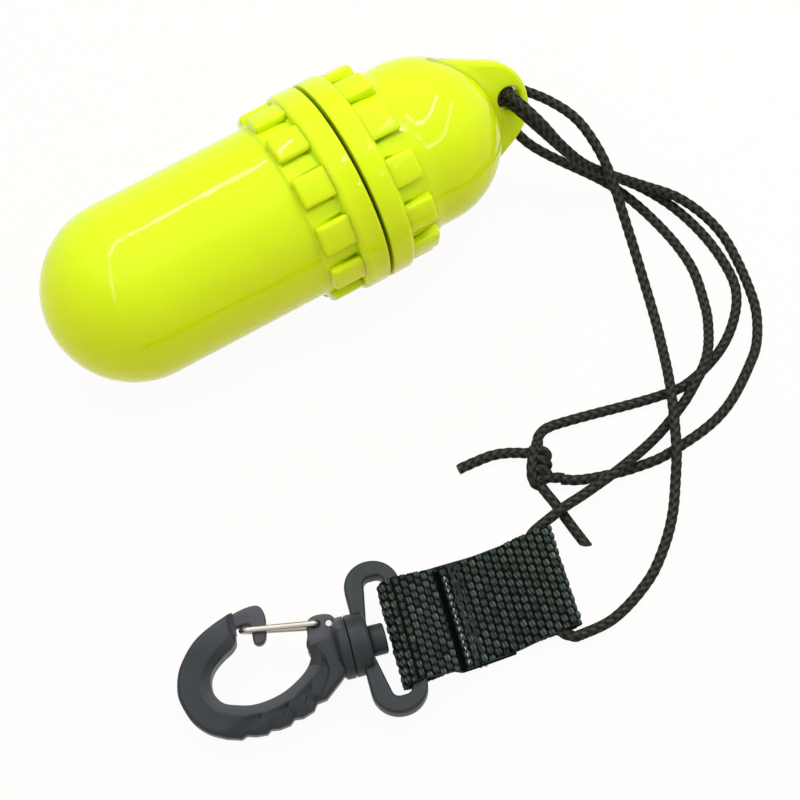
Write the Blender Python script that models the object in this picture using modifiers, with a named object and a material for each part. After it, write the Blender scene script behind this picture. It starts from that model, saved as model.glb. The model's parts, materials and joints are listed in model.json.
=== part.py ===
"""Watertight screw-top capsule on a knotted lanyard, with a webbing tab and a swivel snap hook.

Everything lies on the plane z = 0, in metres. The capsule's axis runs along +X, towards the
eyelet, and tips up a little because the collar is wider than the rounded end it also rests on.
The lanyard is one cord: from its knot through the eyelet, round through the webbing's sleeve,
back through the eyelet and into the knot again.
"""

from math import acos, atan2, asin, cos, hypot, pi, radians, sin, tan

import bmesh
import bpy
from mathutils import Matrix, Vector

GAP = 0.0003

# Capsule shells, measured along the axis from the centre of the body's round end
BODY_RADIUS = 0.0220
BODY_WALL = 0.0024
BODY_LENGTH = 0.0406
COLLAR_RADIUS = 0.0227
LUG_HEIGHT = 0.0020
LUG_COUNT = 12
LUG_ANGLE = radians(17.8)
BODY_LUG_LENGTH = 0.0098
CAP_LUG_LENGTH = 0.0090
BODY_LUG_TURN = radians(-2.3)
CAP_LUG_TURN = radians(11.1)
LUG_CHAMFER = 0.0007
FLANGE_HEIGHT = 0.0029
FLANGE_THICKNESS = 0.0048
FLANGE_ROUND = 0.0012
CAP_RADIUS = 0.0208
CAP_WALL = 0.0024
CAP_BARREL = 0.0070

# Screw joint and its seal
NECK_RADIUS = 0.0190
NECK_WALL = 0.0024
NECK_LENGTH = 0.0140
SKIRT_CLEARANCE = 0.0012
SKIRT_DEPTH = 0.0150
THREAD_PITCH = 0.0040
THREAD_RIDGE = 0.0008
THREAD_TURNS = 1.6
THREAD_START = 0.0050
SEAL_RADIUS = 0.0230
SEAL_SECTION = 0.00125
SEAL_GAP = 0.0010
GROOVE_CLEARANCE = 0.0002

# Eyelet tab on the cap
TAB_THICKNESS = 0.0044
TAB_END_RADIUS = 0.0123
TAB_REACH = 0.0307
TAB_TURN = radians(59.0)
EYELET_RADIUS = 0.0030
EYELET_RIM = 0.0022
EYELET_PLACE = Vector((0.06660, 0.04665))

# Lanyard
CORD_RADIUS = 0.0013
KNOT_CENTRE = Vector((0.0279, -0.0335, 0.0031))
KNOT_HALF_LENGTH = 0.0052
KNOT_HALF_WIDTH = 0.0030
KNOT_TURN = radians(60.0)

# Webbing tab; x' runs from the loop's bar towards the sleeve, l across the webbing
WEBBING_WIDTH = 0.0250
WEBBING_THICKNESS = 0.0012
STRAP_REACH = 0.0399
STRAP_SKEW = radians(9.2)
SEAM_START = 0.0114
SEAM_END = 0.0240
SLEEVE_CORD_X = 0.0332
SLEEVE_CORD_Z = 0.0029
SLEEVE_OPENING = 0.0062
STITCH_RADIUS = 0.00025
STITCH_LENGTH = 0.0025
STITCH_ROWS = (0.0006, 0.0052)
STITCH_MARGIN = 0.0015

# Swivel loop; t runs from the loop's bar towards the hook
BAR_PLACE = Vector((-0.02115, -0.05555, 0.0082))
LOOP_HEADING = radians(164.5)
LOOP_PITCH = radians(1.8)
LOOP_HALF_LENGTH = 0.0184
LOOP_THICKNESS = 0.0038
LOOP_BAR = 0.0036
LOOP_ARM = 0.0044
LOOP_SLOT = 0.0052
LOOP_SLOT_ROUND = 0.0016
LOOP_END = 0.0040
LOOP_ROUND = 0.0011
BOSS_RADIUS = 0.0070
BOSS_START = 0.0006
BOSS_LENGTH = 0.0048
STEM_RADIUS = 0.0028
STEM_CLEARANCE = 0.0003
HEAD_RADIUS = 0.0037
HEAD_LENGTH = 0.0022
SWIVEL_GAP = 0.0005
COLLAR_LENGTH = 0.0024
COLLAR_ROUND = 0.0005

# Snap hook, in the loop's t and l but turned a little on its stem, and its wire gate
HOOK_TURN = radians(-12.0)
HOOK_THICKNESS = 0.0085
HOOK_ROUND = 0.0013
WEB_THICKNESS = 0.0044
EAR_THICKNESS = 0.0042
WIRE_RADIUS = 0.0007
WIRE_BEND = 0.0020
GATE_PIVOT = Vector((0.0160, -0.0060))
GATE_LEG_END = Vector((0.0188, -0.0065))
GATE_TIP = Vector((0.0350, -0.0090))
GATE_SWING = radians(25.0)
PIVOT_CLEARANCE = 0.00015
PIN_DEPTH = 0.0012

HOOK_OUTER = [
    (0.0362, -0.0135), (0.0419, -0.0113), (0.0457, -0.0091), (0.0488, -0.0059), (0.0507, -0.0028),
    (0.0517, 0.0015), (0.0511, 0.0051), (0.0496, 0.0085), (0.0470, 0.0113), (0.0436, 0.0132),
]
HOOK_GRIP = [
    (0.0404, 0.0143), (0.0390, 0.0135), (0.0372, 0.0142), (0.0346, 0.0146), (0.0338, 0.0138),
    (0.0320, 0.0141), (0.0293, 0.0139), (0.0282, 0.0127), (0.0264, 0.0130), (0.0236, 0.0122),
    (0.0226, 0.0106), (0.0204, 0.0104), (0.0164, 0.0073), (0.0146, 0.0057),
]
HOOK_INNER = [
    (0.0146, -0.0034), (0.0180, -0.0036), (0.0208, -0.0032), (0.0219, -0.0017), (0.0216, 0.0004),
    (0.0230, 0.0027), (0.0256, 0.0047), (0.0292, 0.0065), (0.0330, 0.0074), (0.0366, 0.0075),
    (0.0395, 0.0068), (0.0424, 0.0056), (0.0439, 0.0034), (0.0442, 0.0012), (0.0437, -0.0009),
    (0.0423, -0.0027), (0.0401, -0.0043), (0.0380, -0.0055), (0.0368, -0.0068), (0.0364, -0.0093),
]
NOSE_WEB = [
    (0.0380, -0.0129), (0.0337, -0.0139), (0.0308, -0.0140), (0.0297, -0.0132), (0.0292, -0.0112),
    (0.0294, -0.0095), (0.0301, -0.0064), (0.0310, -0.0053), (0.0322, -0.0052), (0.0330, -0.0060),
    (0.0331, -0.0099), (0.0366, -0.0099), (0.0385, -0.0080),
]
GATE_EAR = [
    (0.0150, -0.0038), (0.0150, -0.0076), (0.0158, -0.0086), (0.0176, -0.0091), (0.0195, -0.0087),
    (0.0206, -0.0075), (0.0212, -0.0047), (0.0219, -0.0019), (0.0190, 0.0019), (0.0160, 0.0009),
]

# The lanyard's route. Eyelet points are (out of the face, up the tab, along the axis) from the
# hole, sleeve points are (x', l, z), and all the others are places over the plane z = 0.
INNER_KNOT_RUN = [
    (0.0307, -0.0286, 0.0032), (0.0323, -0.0264, 0.0028), (0.0353, -0.0252, 0.0022),
    (0.0403, -0.0257, 0.0017), (0.0483, -0.0276, 0.0015), (0.0583, -0.0296, 0.0015),
    (0.0673, -0.0316, 0.0015), (0.0759, -0.0306, 0.0015), (0.0851, -0.0270, 0.0015),
    (0.0926, -0.0212, 0.0015), (0.0971, -0.0149, 0.0015), (0.0989, -0.0069, 0.0015),
    (0.0990, 0.0030, 0.0015), (0.0967, 0.0128, 0.0024), (0.0918, 0.0200, 0.0052),
    (0.0847, 0.0250, 0.0099), (0.0773, 0.0284, 0.0166), (0.0721, 0.0322, 0.0230),
]
LOWER_EYE_TURN = [
    (0.0085, -0.0061, 0.0019), (0.0065, -0.0028, 0.0005), (0.0026, -0.0015, 0.0),
    (-0.0026, -0.0015, 0.0), (-0.0061, -0.0028, 0.0002), (-0.0079, -0.0059, 0.0006),
    (-0.0074, -0.0094, 0.0010),
]
SHORT_STRAP_RUN = [
    (0.0699, 0.0422, 0.0146), (0.0733, 0.0372, 0.0122), (0.0776, 0.0327, 0.0095),
    (0.0822, 0.0286, 0.0070), (0.0860, 0.0241, 0.0046), (0.0889, 0.0182, 0.0026),
    (0.0909, 0.0106, 0.0016), (0.0917, 0.0028, 0.0015), (0.0912, -0.0038, 0.0015),
    (0.0897, -0.0100, 0.0015), (0.0873, -0.0162, 0.0016), (0.0839, -0.0222, 0.0024),
    (0.0797, -0.0276, 0.0040), (0.0759, -0.0310, 0.0046), (0.0721, -0.0334, 0.0039),
    (0.0675, -0.0357, 0.0019), (0.0625, -0.0380, 0.0015), (0.0569, -0.0400, 0.0019),
    (0.0503, -0.0420, 0.0036), (0.0440, -0.0438, 0.0047), (0.0383, -0.0446, 0.0045),
    (0.0329, -0.0452, 0.0044), (0.0269, -0.0458, 0.0046),
]
SLEEVE_RUN = [
    (0.0374, -0.0198, 0.0030), (0.0362, -0.0192, 0.0029), (0.0348, -0.0182, 0.0029),
    (0.0337, -0.0167, 0.0029), (0.0332, -0.0144, 0.0029), (0.0332, -0.0080, 0.0029),
    (0.0332, -0.0020, 0.0029), (0.0332, 0.0030, 0.0029), (0.0337, 0.0052, 0.0029),
    (0.0348, 0.0068, 0.0029), (0.0363, 0.0080, 0.0029), (0.0379, 0.0084, 0.0028),
]
LONG_STRAP_RUN = [
    (0.0173, -0.0742, 0.0024), (0.0229, -0.0740, 0.0020), (0.0285, -0.0726, 0.0016),
    (0.0349, -0.0699, 0.0015), (0.0425, -0.0648, 0.0015), (0.0489, -0.0588, 0.0015),
    (0.0539, -0.0524, 0.0023), (0.0583, -0.0458, 0.0045), (0.0625, -0.0383, 0.0047),
    (0.0661, -0.0316, 0.0046), (0.0699, -0.0240, 0.0032), (0.0731, -0.0166, 0.0022),
    (0.0757, -0.0091, 0.0028), (0.0779, -0.0008, 0.0052), (0.0796, 0.0071, 0.0088),
    (0.0810, 0.0144, 0.0130), (0.0818, 0.0218, 0.0174), (0.0819, 0.0290, 0.0206),
    (0.0809, 0.0364, 0.0226), (0.0781, 0.0438, 0.0229),
]
UPPER_EYE_TURN = [
    (-0.0068, -0.0039, 0.0069), (-0.0080, -0.0016, 0.0040), (-0.0063, 0.0006, 0.0011),
    (-0.0026, 0.0015, 0.0), (0.0026, 0.0015, 0.0), (0.0064, 0.0007, 0.0004),
    (0.0094, -0.0017, 0.0013), (0.0112, -0.0051, 0.0027),
]
OUTER_KNOT_RUN = [
    (0.0723, 0.0299, 0.0252), (0.0771, 0.0259, 0.0187), (0.0839, 0.0228, 0.0128),
    (0.0912, 0.0186, 0.0083), (0.0979, 0.0127, 0.0056), (0.1021, 0.0047, 0.0030),
    (0.1029, -0.0036, 0.0016), (0.1017, -0.0114, 0.0015), (0.0991, -0.0195, 0.0015),
    (0.0951, -0.0272, 0.0015), (0.0894, -0.0334, 0.0015), (0.0819, -0.0386, 0.0015),
    (0.0739, -0.0425, 0.0015), (0.0655, -0.0445, 0.0015), (0.0565, -0.0451, 0.0015),
    (0.0478, -0.0442, 0.0015), (0.0403, -0.0424, 0.0016), (0.0345, -0.0402, 0.0022),
    (0.0311, -0.0381, 0.0027),
]
LEFT_TAIL = [
    (0.0267, -0.0290, 0.0034), (0.0243, -0.0268, 0.0022), (0.0208, -0.0250, 0.0015),
    (0.0167, -0.0241, 0.0015), (0.0127, -0.0238, 0.0015),
]
RIGHT_TAIL = [
    (0.0259, -0.0393, 0.0024), (0.0270, -0.0430, 0.0015), (0.0273, -0.0484, 0.0015),
    (0.0275, -0.0544, 0.0015),
]

# Sizes and places worked out from those above, along the axis from the centre of the round end
LUG_RADIUS = COLLAR_RADIUS + LUG_HEIGHT
FLANGE_RADIUS = COLLAR_RADIUS + FLANGE_HEIGHT
FLANGE_START = BODY_LENGTH + BODY_LUG_LENGTH
FLANGE_FACE = FLANGE_START + FLANGE_THICKNESS
CAP_FACE = FLANGE_FACE + SEAL_GAP
CAP_LUG_START = CAP_FACE + FLANGE_THICKNESS
CAP_BARREL_START = CAP_LUG_START + CAP_LUG_LENGTH
CAP_CENTRE = CAP_BARREL_START + CAP_BARREL
TAB_TIP = CAP_CENTRE + TAB_REACH
EYELET_HEIGHT = TAB_TIP - EYELET_RIM - EYELET_RADIUS
SKIRT_RADIUS = NECK_RADIUS + SKIRT_CLEARANCE
BOSS_FACE = LOOP_BAR / 2 + LOOP_SLOT + BOSS_START
COLLAR_START = BOSS_FACE + BOSS_LENGTH + SWIVEL_GAP
EYE_RADIUS = hypot(LOOP_BAR / 2 - LOOP_ROUND, LOOP_THICKNESS / 2 - LOOP_ROUND) + LOOP_ROUND + GAP
EYE_OUTSIDE = EYE_RADIUS + WEBBING_THICKNESS

TURN_STEPS = 48
SMALL_STEPS = 24
MERGE = 0.00001

for old in list(bpy.data.objects):
    bpy.data.objects.remove(old, do_unlink=True)

parts = bpy.data.collections.new("dry_capsule_lanyard")
cutters = bpy.data.collections.new("cutters")
for group in (parts, cutters):
    bpy.context.scene.collection.children.link(group)


def plastic(name, colour, roughness, metallic=0.0):
    """Make one finish as a Principled material."""
    material = bpy.data.materials.new(name)
    material.use_nodes = True
    shader = material.node_tree.nodes["Principled BSDF"]
    shader.inputs["Base Color"].default_value = (*colour, 1.0)
    shader.inputs["Roughness"].default_value = roughness
    shader.inputs["Metallic"].default_value = metallic
    return material


YELLOW = plastic("yellow_plastic", (0.72, 0.90, 0.03), 0.22)
RUBBER = plastic("black_rubber", (0.02, 0.02, 0.02), 0.70)
CORD = plastic("black_cord", (0.03, 0.03, 0.03), 0.85)
WEBBING = plastic("black_webbing", (0.02, 0.03, 0.02), 0.90)
THREAD = plastic("grey_thread", (0.30, 0.34, 0.36), 0.70)
CHARCOAL = plastic("charcoal_plastic", (0.06, 0.07, 0.07), 0.45)
STEEL = plastic("stainless_wire", (0.62, 0.60, 0.57), 0.25, 1.0)


def empty(name, matrix):
    """Place a frame that pieces are parented to."""
    frame = bpy.data.objects.new(name, None)
    frame.matrix_world = matrix
    parts.objects.link(frame)
    return frame


def new_object(name, data, parent=None, material=None):
    """Add a piece, or a cutter when it has no material."""
    piece = bpy.data.objects.new(name, data)
    (parts if material else cutters).objects.link(piece)
    if material:
        data.materials.append(material)
    else:
        piece.hide_render = True
        piece.display_type = "WIRE"
    piece.parent = parent
    return piece


def turned(name, profile, steps, parent=None, material=None):
    """Turn an (x, z) profile, given top to bottom down its outer side, about local Z."""
    mesh = bpy.data.meshes.new(name)
    edges = [(i, i + 1) for i in range(len(profile) - 1)]
    mesh.from_pydata([(x, 0.0, z) for x, z in profile], edges, [])
    piece = new_object(name, mesh, parent, material)
    screw = piece.modifiers.new("turn", "SCREW")
    screw.steps = screw.render_steps = steps
    screw.use_merge_vertices = True
    screw.merge_threshold = MERGE
    screw.use_smooth_shade = True
    return piece


def arc(centre, radius, start, end, steps):
    """Points on an arc from one angle to another, both included."""
    angles = [start + (end - start) * i / steps for i in range(steps + 1)]
    return [(centre[0] + radius * cos(a), centre[1] + radius * sin(a)) for a in angles]


def as_mesh(curve_piece):
    """Replace a curve by the closed mesh it evaluates to."""
    bpy.context.view_layer.update()
    graph = bpy.context.evaluated_depsgraph_get()
    mesh = bpy.data.meshes.new_from_object(curve_piece.evaluated_get(graph))
    shape = bmesh.new()
    shape.from_mesh(mesh)
    bmesh.ops.remove_doubles(shape, verts=shape.verts, dist=MERGE)
    bmesh.ops.recalc_face_normals(shape, faces=shape.faces)
    shape.to_mesh(mesh)
    shape.free()
    name = curve_piece.name
    group = curve_piece.users_collection[0]
    solid = bpy.data.objects.new(name, mesh)
    group.objects.link(solid)
    solid.parent = curve_piece.parent
    solid.matrix_world = curve_piece.matrix_world
    solid.hide_render = curve_piece.hide_render
    solid.display_type = curve_piece.display_type
    bpy.data.objects.remove(curve_piece, do_unlink=True)
    solid.name = name
    return solid


def plate(name, outline, thickness, parent=None, material=None):
    """Make a flat plate of one outline, evenly about z = 0."""
    mesh = bpy.data.meshes.new(name)
    shape = bmesh.new()
    face = shape.faces.new([shape.verts.new((x, y, -thickness / 2)) for x, y in outline])
    grown = bmesh.ops.extrude_face_region(shape, geom=[face])
    top = [item for item in grown["geom"] if isinstance(item, bmesh.types.BMVert)]
    bmesh.ops.translate(shape, verts=top, vec=(0.0, 0.0, thickness))
    bmesh.ops.recalc_face_normals(shape, faces=shape.faces)
    shape.to_mesh(mesh)
    shape.free()
    return new_object(name, mesh, parent, material)


def pierced_plate(name, outlines, thickness, parent=None, material=None):
    """Make a flat plate whose later outlines are holes in the first, evenly about z = 0."""
    curve = bpy.data.curves.new(name, "CURVE")
    curve.dimensions = "2D"
    curve.fill_mode = "BOTH"
    curve.extrude = thickness / 2
    for outline in outlines:
        spline = curve.splines.new("POLY")
        spline.points.add(len(outline) - 1)
        spline.use_cyclic_u = True
        for point, (x, y) in zip(spline.points, outline):
            point.co = (x, y, 0.0, 1.0)
    return as_mesh(new_object(name, curve, parent, material))


def tube(name, points, radius, parent=None, material=None):
    """Run a round section along points, with its ends closed."""
    curve = bpy.data.curves.new(name, "CURVE")
    curve.dimensions = "3D"
    curve.bevel_depth = radius
    curve.bevel_resolution = 2
    curve.use_fill_caps = True
    spline = curve.splines.new("POLY")
    spline.points.add(len(points) - 1)
    for point, place in zip(spline.points, points):
        point.co = (*place, 1.0)
    spline.use_smooth = True
    return new_object(name, curve, parent, material)


def rod(name, radius, length, matrix, parent=None):
    """Make a round cutter or filler about local Z, centred on its frame."""
    mesh = bpy.data.meshes.new(name)
    shape = bmesh.new()
    bmesh.ops.create_cone(shape, cap_ends=True, segments=SMALL_STEPS, radius1=radius, radius2=radius,
                          depth=length, matrix=matrix)
    shape.to_mesh(mesh)
    shape.free()
    return new_object(name, mesh, parent)


def combine(piece, other, operation):
    """Join another solid to a piece, or cut it away."""
    boolean = piece.modifiers.new(other.name, "BOOLEAN")
    boolean.operation = operation
    boolean.solver = "EXACT"
    boolean.object = other


def soften(piece, width):
    """Round the edges between a plate's flat faces and its sides."""
    weights = piece.data.attributes.new("bevel_weight_edge", "FLOAT", "EDGE")
    shape = bmesh.new()
    shape.from_mesh(piece.data)
    for edge in shape.edges:
        flat = [abs(face.normal.z) > 0.9 for face in edge.link_faces]
        weights.data[edge.index].value = 1.0 if any(flat) and not all(flat) else 0.0
    shape.free()
    bevel = piece.modifiers.new("rounded_edges", "BEVEL")
    bevel.width = width
    bevel.segments = 2
    bevel.limit_method = "WEIGHT"
    bevel.use_clamp_overlap = False


def smooth_route(points, spacing):
    """Points at an even spacing on a smooth curve that passes through a route's own points."""
    route = [Vector(p) for p in points]
    route = [2 * route[0] - route[1]] + route + [2 * route[-1] - route[-2]]
    fine = []
    for before, start, end, after in zip(route, route[1:], route[2:], route[3:]):
        span = (end - start).length
        leave = (end - before) * span / ((end - start).length + (start - before).length)
        arrive = (after - start) * span / ((after - end).length + (end - start).length)
        for i in range(16):
            u = i / 16
            fine.append(start * (2 * u**3 - 3 * u**2 + 1) + leave * (u**3 - 2 * u**2 + u)
                        + end * (3 * u**2 - 2 * u**3) + arrive * (u**3 - u**2))
    fine.append(route[-2])
    lengths = [0.0]
    for a, b in zip(fine, fine[1:]):
        lengths.append(lengths[-1] + (b - a).length)
    count = max(2, round(lengths[-1] / spacing))
    even = []
    i = 0
    for k in range(count + 1):
        wanted = lengths[-1] * k / count
        while i < len(fine) - 2 and lengths[i + 1] < wanted:
            i += 1
        share = (wanted - lengths[i]) / (lengths[i + 1] - lengths[i])
        even.append(fine[i].lerp(fine[i + 1], share))
    return even


# Frame of the capsule: local Z is its axis, local -X points up
lean_reach = hypot(FLANGE_RADIUS, FLANGE_START + FLANGE_ROUND)
lean = acos(BODY_RADIUS / lean_reach) - atan2(FLANGE_START + FLANGE_ROUND, FLANGE_RADIUS)
axis = Vector((cos(lean), 0.0, sin(lean)))
dome_centre = Vector((EYELET_PLACE.x - EYELET_HEIGHT * axis.x, EYELET_PLACE.y, BODY_RADIUS))
capsule_frame = Matrix.Translation(dome_centre) @ Matrix.Rotation(pi / 2 - lean, 4, "Y")
cap_axis = empty("cap_axis", capsule_frame)
body_axis = empty("body_axis", capsule_frame)


def round_lugs(name, start, length, turn, parent):
    """Make a ring of grip blocks, chamfered, that sink into the collar band below them."""
    mesh = bpy.data.meshes.new(name)
    shape = bmesh.new()
    depth = LUG_RADIUS - (COLLAR_RADIUS - 2 * LUG_CHAMFER)
    width = 2 * LUG_RADIUS * sin(LUG_ANGLE / 2)
    for k in range(LUG_COUNT):
        place = (Matrix.Rotation(pi + turn + 2 * pi * k / LUG_COUNT, 4, "Z")
                 @ Matrix.Translation((LUG_RADIUS - depth / 2, 0.0, start + length / 2))
                 @ Matrix.Diagonal((depth, width, length, 1.0)))
        block = bmesh.ops.create_cube(shape, size=1.0, matrix=place)
        edges = {e for v in block["verts"] for e in v.link_edges}
        bmesh.ops.bevel(shape, geom=list(edges), offset=LUG_CHAMFER, segments=1, affect="EDGES",
                        profile=0.5, material=-1)
    shape.to_mesh(mesh)
    shape.free()
    return new_object(name, mesh, parent)


def thread_ridge(name, radius, start, turns, parent):
    """Make a round right-handed thread ridge, half sunk in the wall that carries it."""
    steps = round(turns * SMALL_STEPS)
    points = [(radius * cos(2 * pi * i / SMALL_STEPS), radius * sin(2 * pi * i / SMALL_STEPS),
               start + THREAD_PITCH * i / SMALL_STEPS) for i in range(steps + 1)]
    ridge = tube(name, points, THREAD_RIDGE, parent)
    ridge.data.bevel_resolution = 0
    return as_mesh(ridge)


def rounded_rim(z_low, z_high):
    """The rim of a flange, rounded, from its upper face to its lower one."""
    r = FLANGE_ROUND
    upper = arc((FLANGE_RADIUS - r, z_high - r), r, pi / 2, 0.0, 3)
    lower = arc((FLANGE_RADIUS - r, z_low + r), r, 0.0, -pi / 2, 3)
    return upper + lower


# Body shell: one moulding with a round end, a collar, a sealing flange and a threaded neck
neck_end = FLANGE_FACE + NECK_LENGTH
groove_floor = FLANGE_FACE + SEAL_GAP - GROOVE_CLEARANCE - 2 * SEAL_SECTION - GAP
groove_half = SEAL_SECTION + GAP
body_profile = [(0.0, -BODY_RADIUS + BODY_WALL)]
body_profile += arc((0.0, 0.0), BODY_RADIUS - BODY_WALL, -pi / 2, 0.0, 10)[1:]
body_profile += [
    (BODY_RADIUS - BODY_WALL, BODY_LENGTH + BODY_WALL),
    (NECK_RADIUS - NECK_WALL, FLANGE_START),
    (NECK_RADIUS - NECK_WALL, neck_end),
    (NECK_RADIUS - THREAD_RIDGE / 2, neck_end),
    (NECK_RADIUS, neck_end - THREAD_RIDGE),
    (NECK_RADIUS, FLANGE_FACE),
    (SEAL_RADIUS - groove_half, FLANGE_FACE),
    (SEAL_RADIUS - groove_half, groove_floor),
    (SEAL_RADIUS + groove_half, groove_floor),
    (SEAL_RADIUS + groove_half, FLANGE_FACE),
]
body_profile += rounded_rim(FLANGE_START, FLANGE_FACE)
body_profile += [
    (COLLAR_RADIUS, FLANGE_START),
    (COLLAR_RADIUS, BODY_LENGTH),
    (BODY_RADIUS, BODY_LENGTH - (COLLAR_RADIUS - BODY_RADIUS)),
]
body_profile += arc((0.0, 0.0), BODY_RADIUS, 0.0, -pi / 2, 12)[:-1]
body_profile += [(0.0, -BODY_RADIUS)]
capsule_body = turned("capsule_body", body_profile, TURN_STEPS, body_axis, YELLOW)
combine(capsule_body, round_lugs("body_lugs", BODY_LENGTH, BODY_LUG_LENGTH + FLANGE_ROUND,
                                 BODY_LUG_TURN, body_axis), "UNION")
combine(capsule_body, thread_ridge("neck_thread", NECK_RADIUS, FLANGE_FACE + THREAD_START,
                                   THREAD_TURNS, body_axis), "UNION")

# Cap shell: a flange and collar to match, a domed end and a flat eyelet tab
skirt_end = CAP_FACE + SKIRT_DEPTH
cap_inside = CAP_RADIUS - CAP_WALL
cap_profile = [(0.0, CAP_CENTRE + CAP_RADIUS)]
cap_profile += arc((0.0, CAP_CENTRE), CAP_RADIUS, pi / 2, 0.0, 12)[1:]
cap_profile += [
    (CAP_RADIUS, CAP_BARREL_START + (COLLAR_RADIUS - CAP_RADIUS)),
    (COLLAR_RADIUS, CAP_BARREL_START),
    (COLLAR_RADIUS, CAP_LUG_START),
]
cap_profile += rounded_rim(CAP_FACE, CAP_LUG_START)
cap_profile += [
    (SKIRT_RADIUS, CAP_FACE),
    (SKIRT_RADIUS, skirt_end - (SKIRT_RADIUS - cap_inside)),
    (cap_inside, skirt_end),
]
cap_profile += arc((0.0, CAP_CENTRE), cap_inside, 0.0, pi / 2, 10)[:-1]
cap_profile += [(0.0, CAP_CENTRE + cap_inside)]
screw_cap = turned("screw_cap", cap_profile, TURN_STEPS, cap_axis, YELLOW)
combine(screw_cap, round_lugs("cap_lugs", CAP_LUG_START - FLANGE_ROUND, CAP_LUG_LENGTH + FLANGE_ROUND,
                              CAP_LUG_TURN, cap_axis), "UNION")
combine(screw_cap, thread_ridge("cap_thread", SKIRT_RADIUS,
                                FLANGE_FACE + THREAD_START + THREAD_PITCH / 2 - THREAD_PITCH,
                                THREAD_TURNS, cap_axis), "UNION")

# The tab's outline runs along tangents from the dome to its own round end
tab_centre = TAB_TIP - TAB_END_RADIUS
tab_slope = asin((CAP_RADIUS - TAB_END_RADIUS) / (tab_centre - CAP_CENTRE))
tab_root = CAP_RADIUS - CAP_WALL / 2
tab_outline = arc((tab_centre, 0.0), TAB_END_RADIUS, tab_slope - pi / 2, pi / 2 - tab_slope, 16)
tab_outline += [(CAP_CENTRE + CAP_RADIUS * sin(tab_slope), CAP_RADIUS * cos(tab_slope))]
tab_outline += arc((CAP_CENTRE, 0.0), tab_root, pi / 2 - tab_slope, tab_slope - pi / 2, 12)
tab_outline += [(CAP_CENTRE + CAP_RADIUS * sin(tab_slope), -CAP_RADIUS * cos(tab_slope))]
eyelet_outline = arc((EYELET_HEIGHT, 0.0), EYELET_RADIUS, 0.0, 2 * pi, SMALL_STEPS)[:-1]
tab_plane = Matrix(((0, -sin(TAB_TURN), -cos(TAB_TURN), 0), (0, cos(TAB_TURN), -sin(TAB_TURN), 0),
                    (1, 0, 0, 0), (0, 0, 0, 1)))
tab_frame = empty("tab_frame", capsule_frame @ tab_plane)
combine(screw_cap, pierced_plate("eyelet_tab", [tab_outline, eyelet_outline], TAB_THICKNESS,
                                 tab_frame), "UNION")

# Sealing ring, seated in the body's groove
bpy.ops.mesh.primitive_torus_add(major_segments=TURN_STEPS, minor_segments=8,
                                 major_radius=SEAL_RADIUS, minor_radius=SEAL_SECTION)
ring_mesh = bpy.context.object.data
bpy.data.objects.remove(bpy.context.object, do_unlink=True)
sealing_ring = new_object("sealing_ring", ring_mesh, body_axis, RUBBER)
sealing_ring.location.z = FLANGE_FACE + SEAL_GAP - GROOVE_CLEARANCE - SEAL_SECTION

# Frames of the loop and strap: local X runs from the bar to the hook, local Y across
loop_frame = (Matrix.Translation(BAR_PLACE) @ Matrix.Rotation(LOOP_HEADING, 4, "Z")
              @ Matrix.Rotation(LOOP_PITCH, 4, "Y"))
loop_axis = empty("loop_axis", loop_frame)
hook_frame = loop_frame @ Matrix.Rotation(HOOK_TURN, 4, "X")
hook_axis = empty("hook_axis", hook_frame)
strap_frame = (Matrix.Translation((BAR_PLACE.x, BAR_PLACE.y, 0.0))
               @ Matrix.Rotation(LOOP_HEADING - pi, 4, "Z"))

# Webbing: one strip folded round the cord and the bar, seen from its edge as (x', z)
t = WEBBING_THICKNESS
bar_z = BAR_PLACE.z
cord_top = SLEEVE_CORD_Z + CORD_RADIUS + GAP
stack = 3 * t + GAP / 2
eye_top = arc((0.0, bar_z), EYE_OUTSIDE, radians(255), radians(75), 14)
strap_outline = eye_top + [
    (SEAM_START - 4 * t, 2 * t + 0.45 * bar_z),
    (SEAM_START - t, 2 * t + GAP),
    (SEAM_START, 2 * t + GAP),
    (SEAM_START + GAP, stack),
    (SEAM_END, stack),
    (SLEEVE_CORD_X - 2.6 * CORD_RADIUS, cord_top + 0.6 * t),
    (SLEEVE_CORD_X, cord_top + t),
    (STRAP_REACH - 1.6 * t, cord_top + 0.8 * t),
    (STRAP_REACH - 0.4 * t, SLEEVE_CORD_Z + t),
    (STRAP_REACH, SLEEVE_CORD_Z),
    (STRAP_REACH - 0.6 * t, SLEEVE_CORD_Z - t),
    (STRAP_REACH - 2.4 * t, 0.0),
    (SEAM_START - t, 0.0),
    (SEAM_START - 4 * t, 0.2 * bar_z),
]
eye_outline = arc((0.0, bar_z), EYE_RADIUS, 0.0, 2 * pi, SMALL_STEPS)[:-1]
pocket_end = STRAP_REACH - t
pocket_outline = [
    (pocket_end - SLEEVE_OPENING - 2 * t, t + 0.3 * (cord_top - t)),
    (SLEEVE_CORD_X - 1.6 * CORD_RADIUS, cord_top - 0.3 * t),
    (SLEEVE_CORD_X, cord_top),
    (pocket_end - 0.8 * t, cord_top - 0.2 * t),
    (pocket_end, SLEEVE_CORD_Z),
    (pocket_end - 1.5 * t, t + GAP / 2),
    (SLEEVE_CORD_X - CORD_RADIUS, t + GAP / 2),
]
across = Matrix(((1, 0, 0, 0), (0, 0, 1, 0), (0, 1, 0, 0), (0, 0, 0, 1)))
skew = Matrix.Identity(4)
skew[1][0] = tan(STRAP_SKEW)
webbing_strap = pierced_plate("webbing_strap", [strap_outline, eye_outline, pocket_outline],
                              WEBBING_WIDTH, None, WEBBING)
webbing_strap.data.transform(strap_frame @ skew @ across)
webbing_strap.data.flip_normals()

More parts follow.
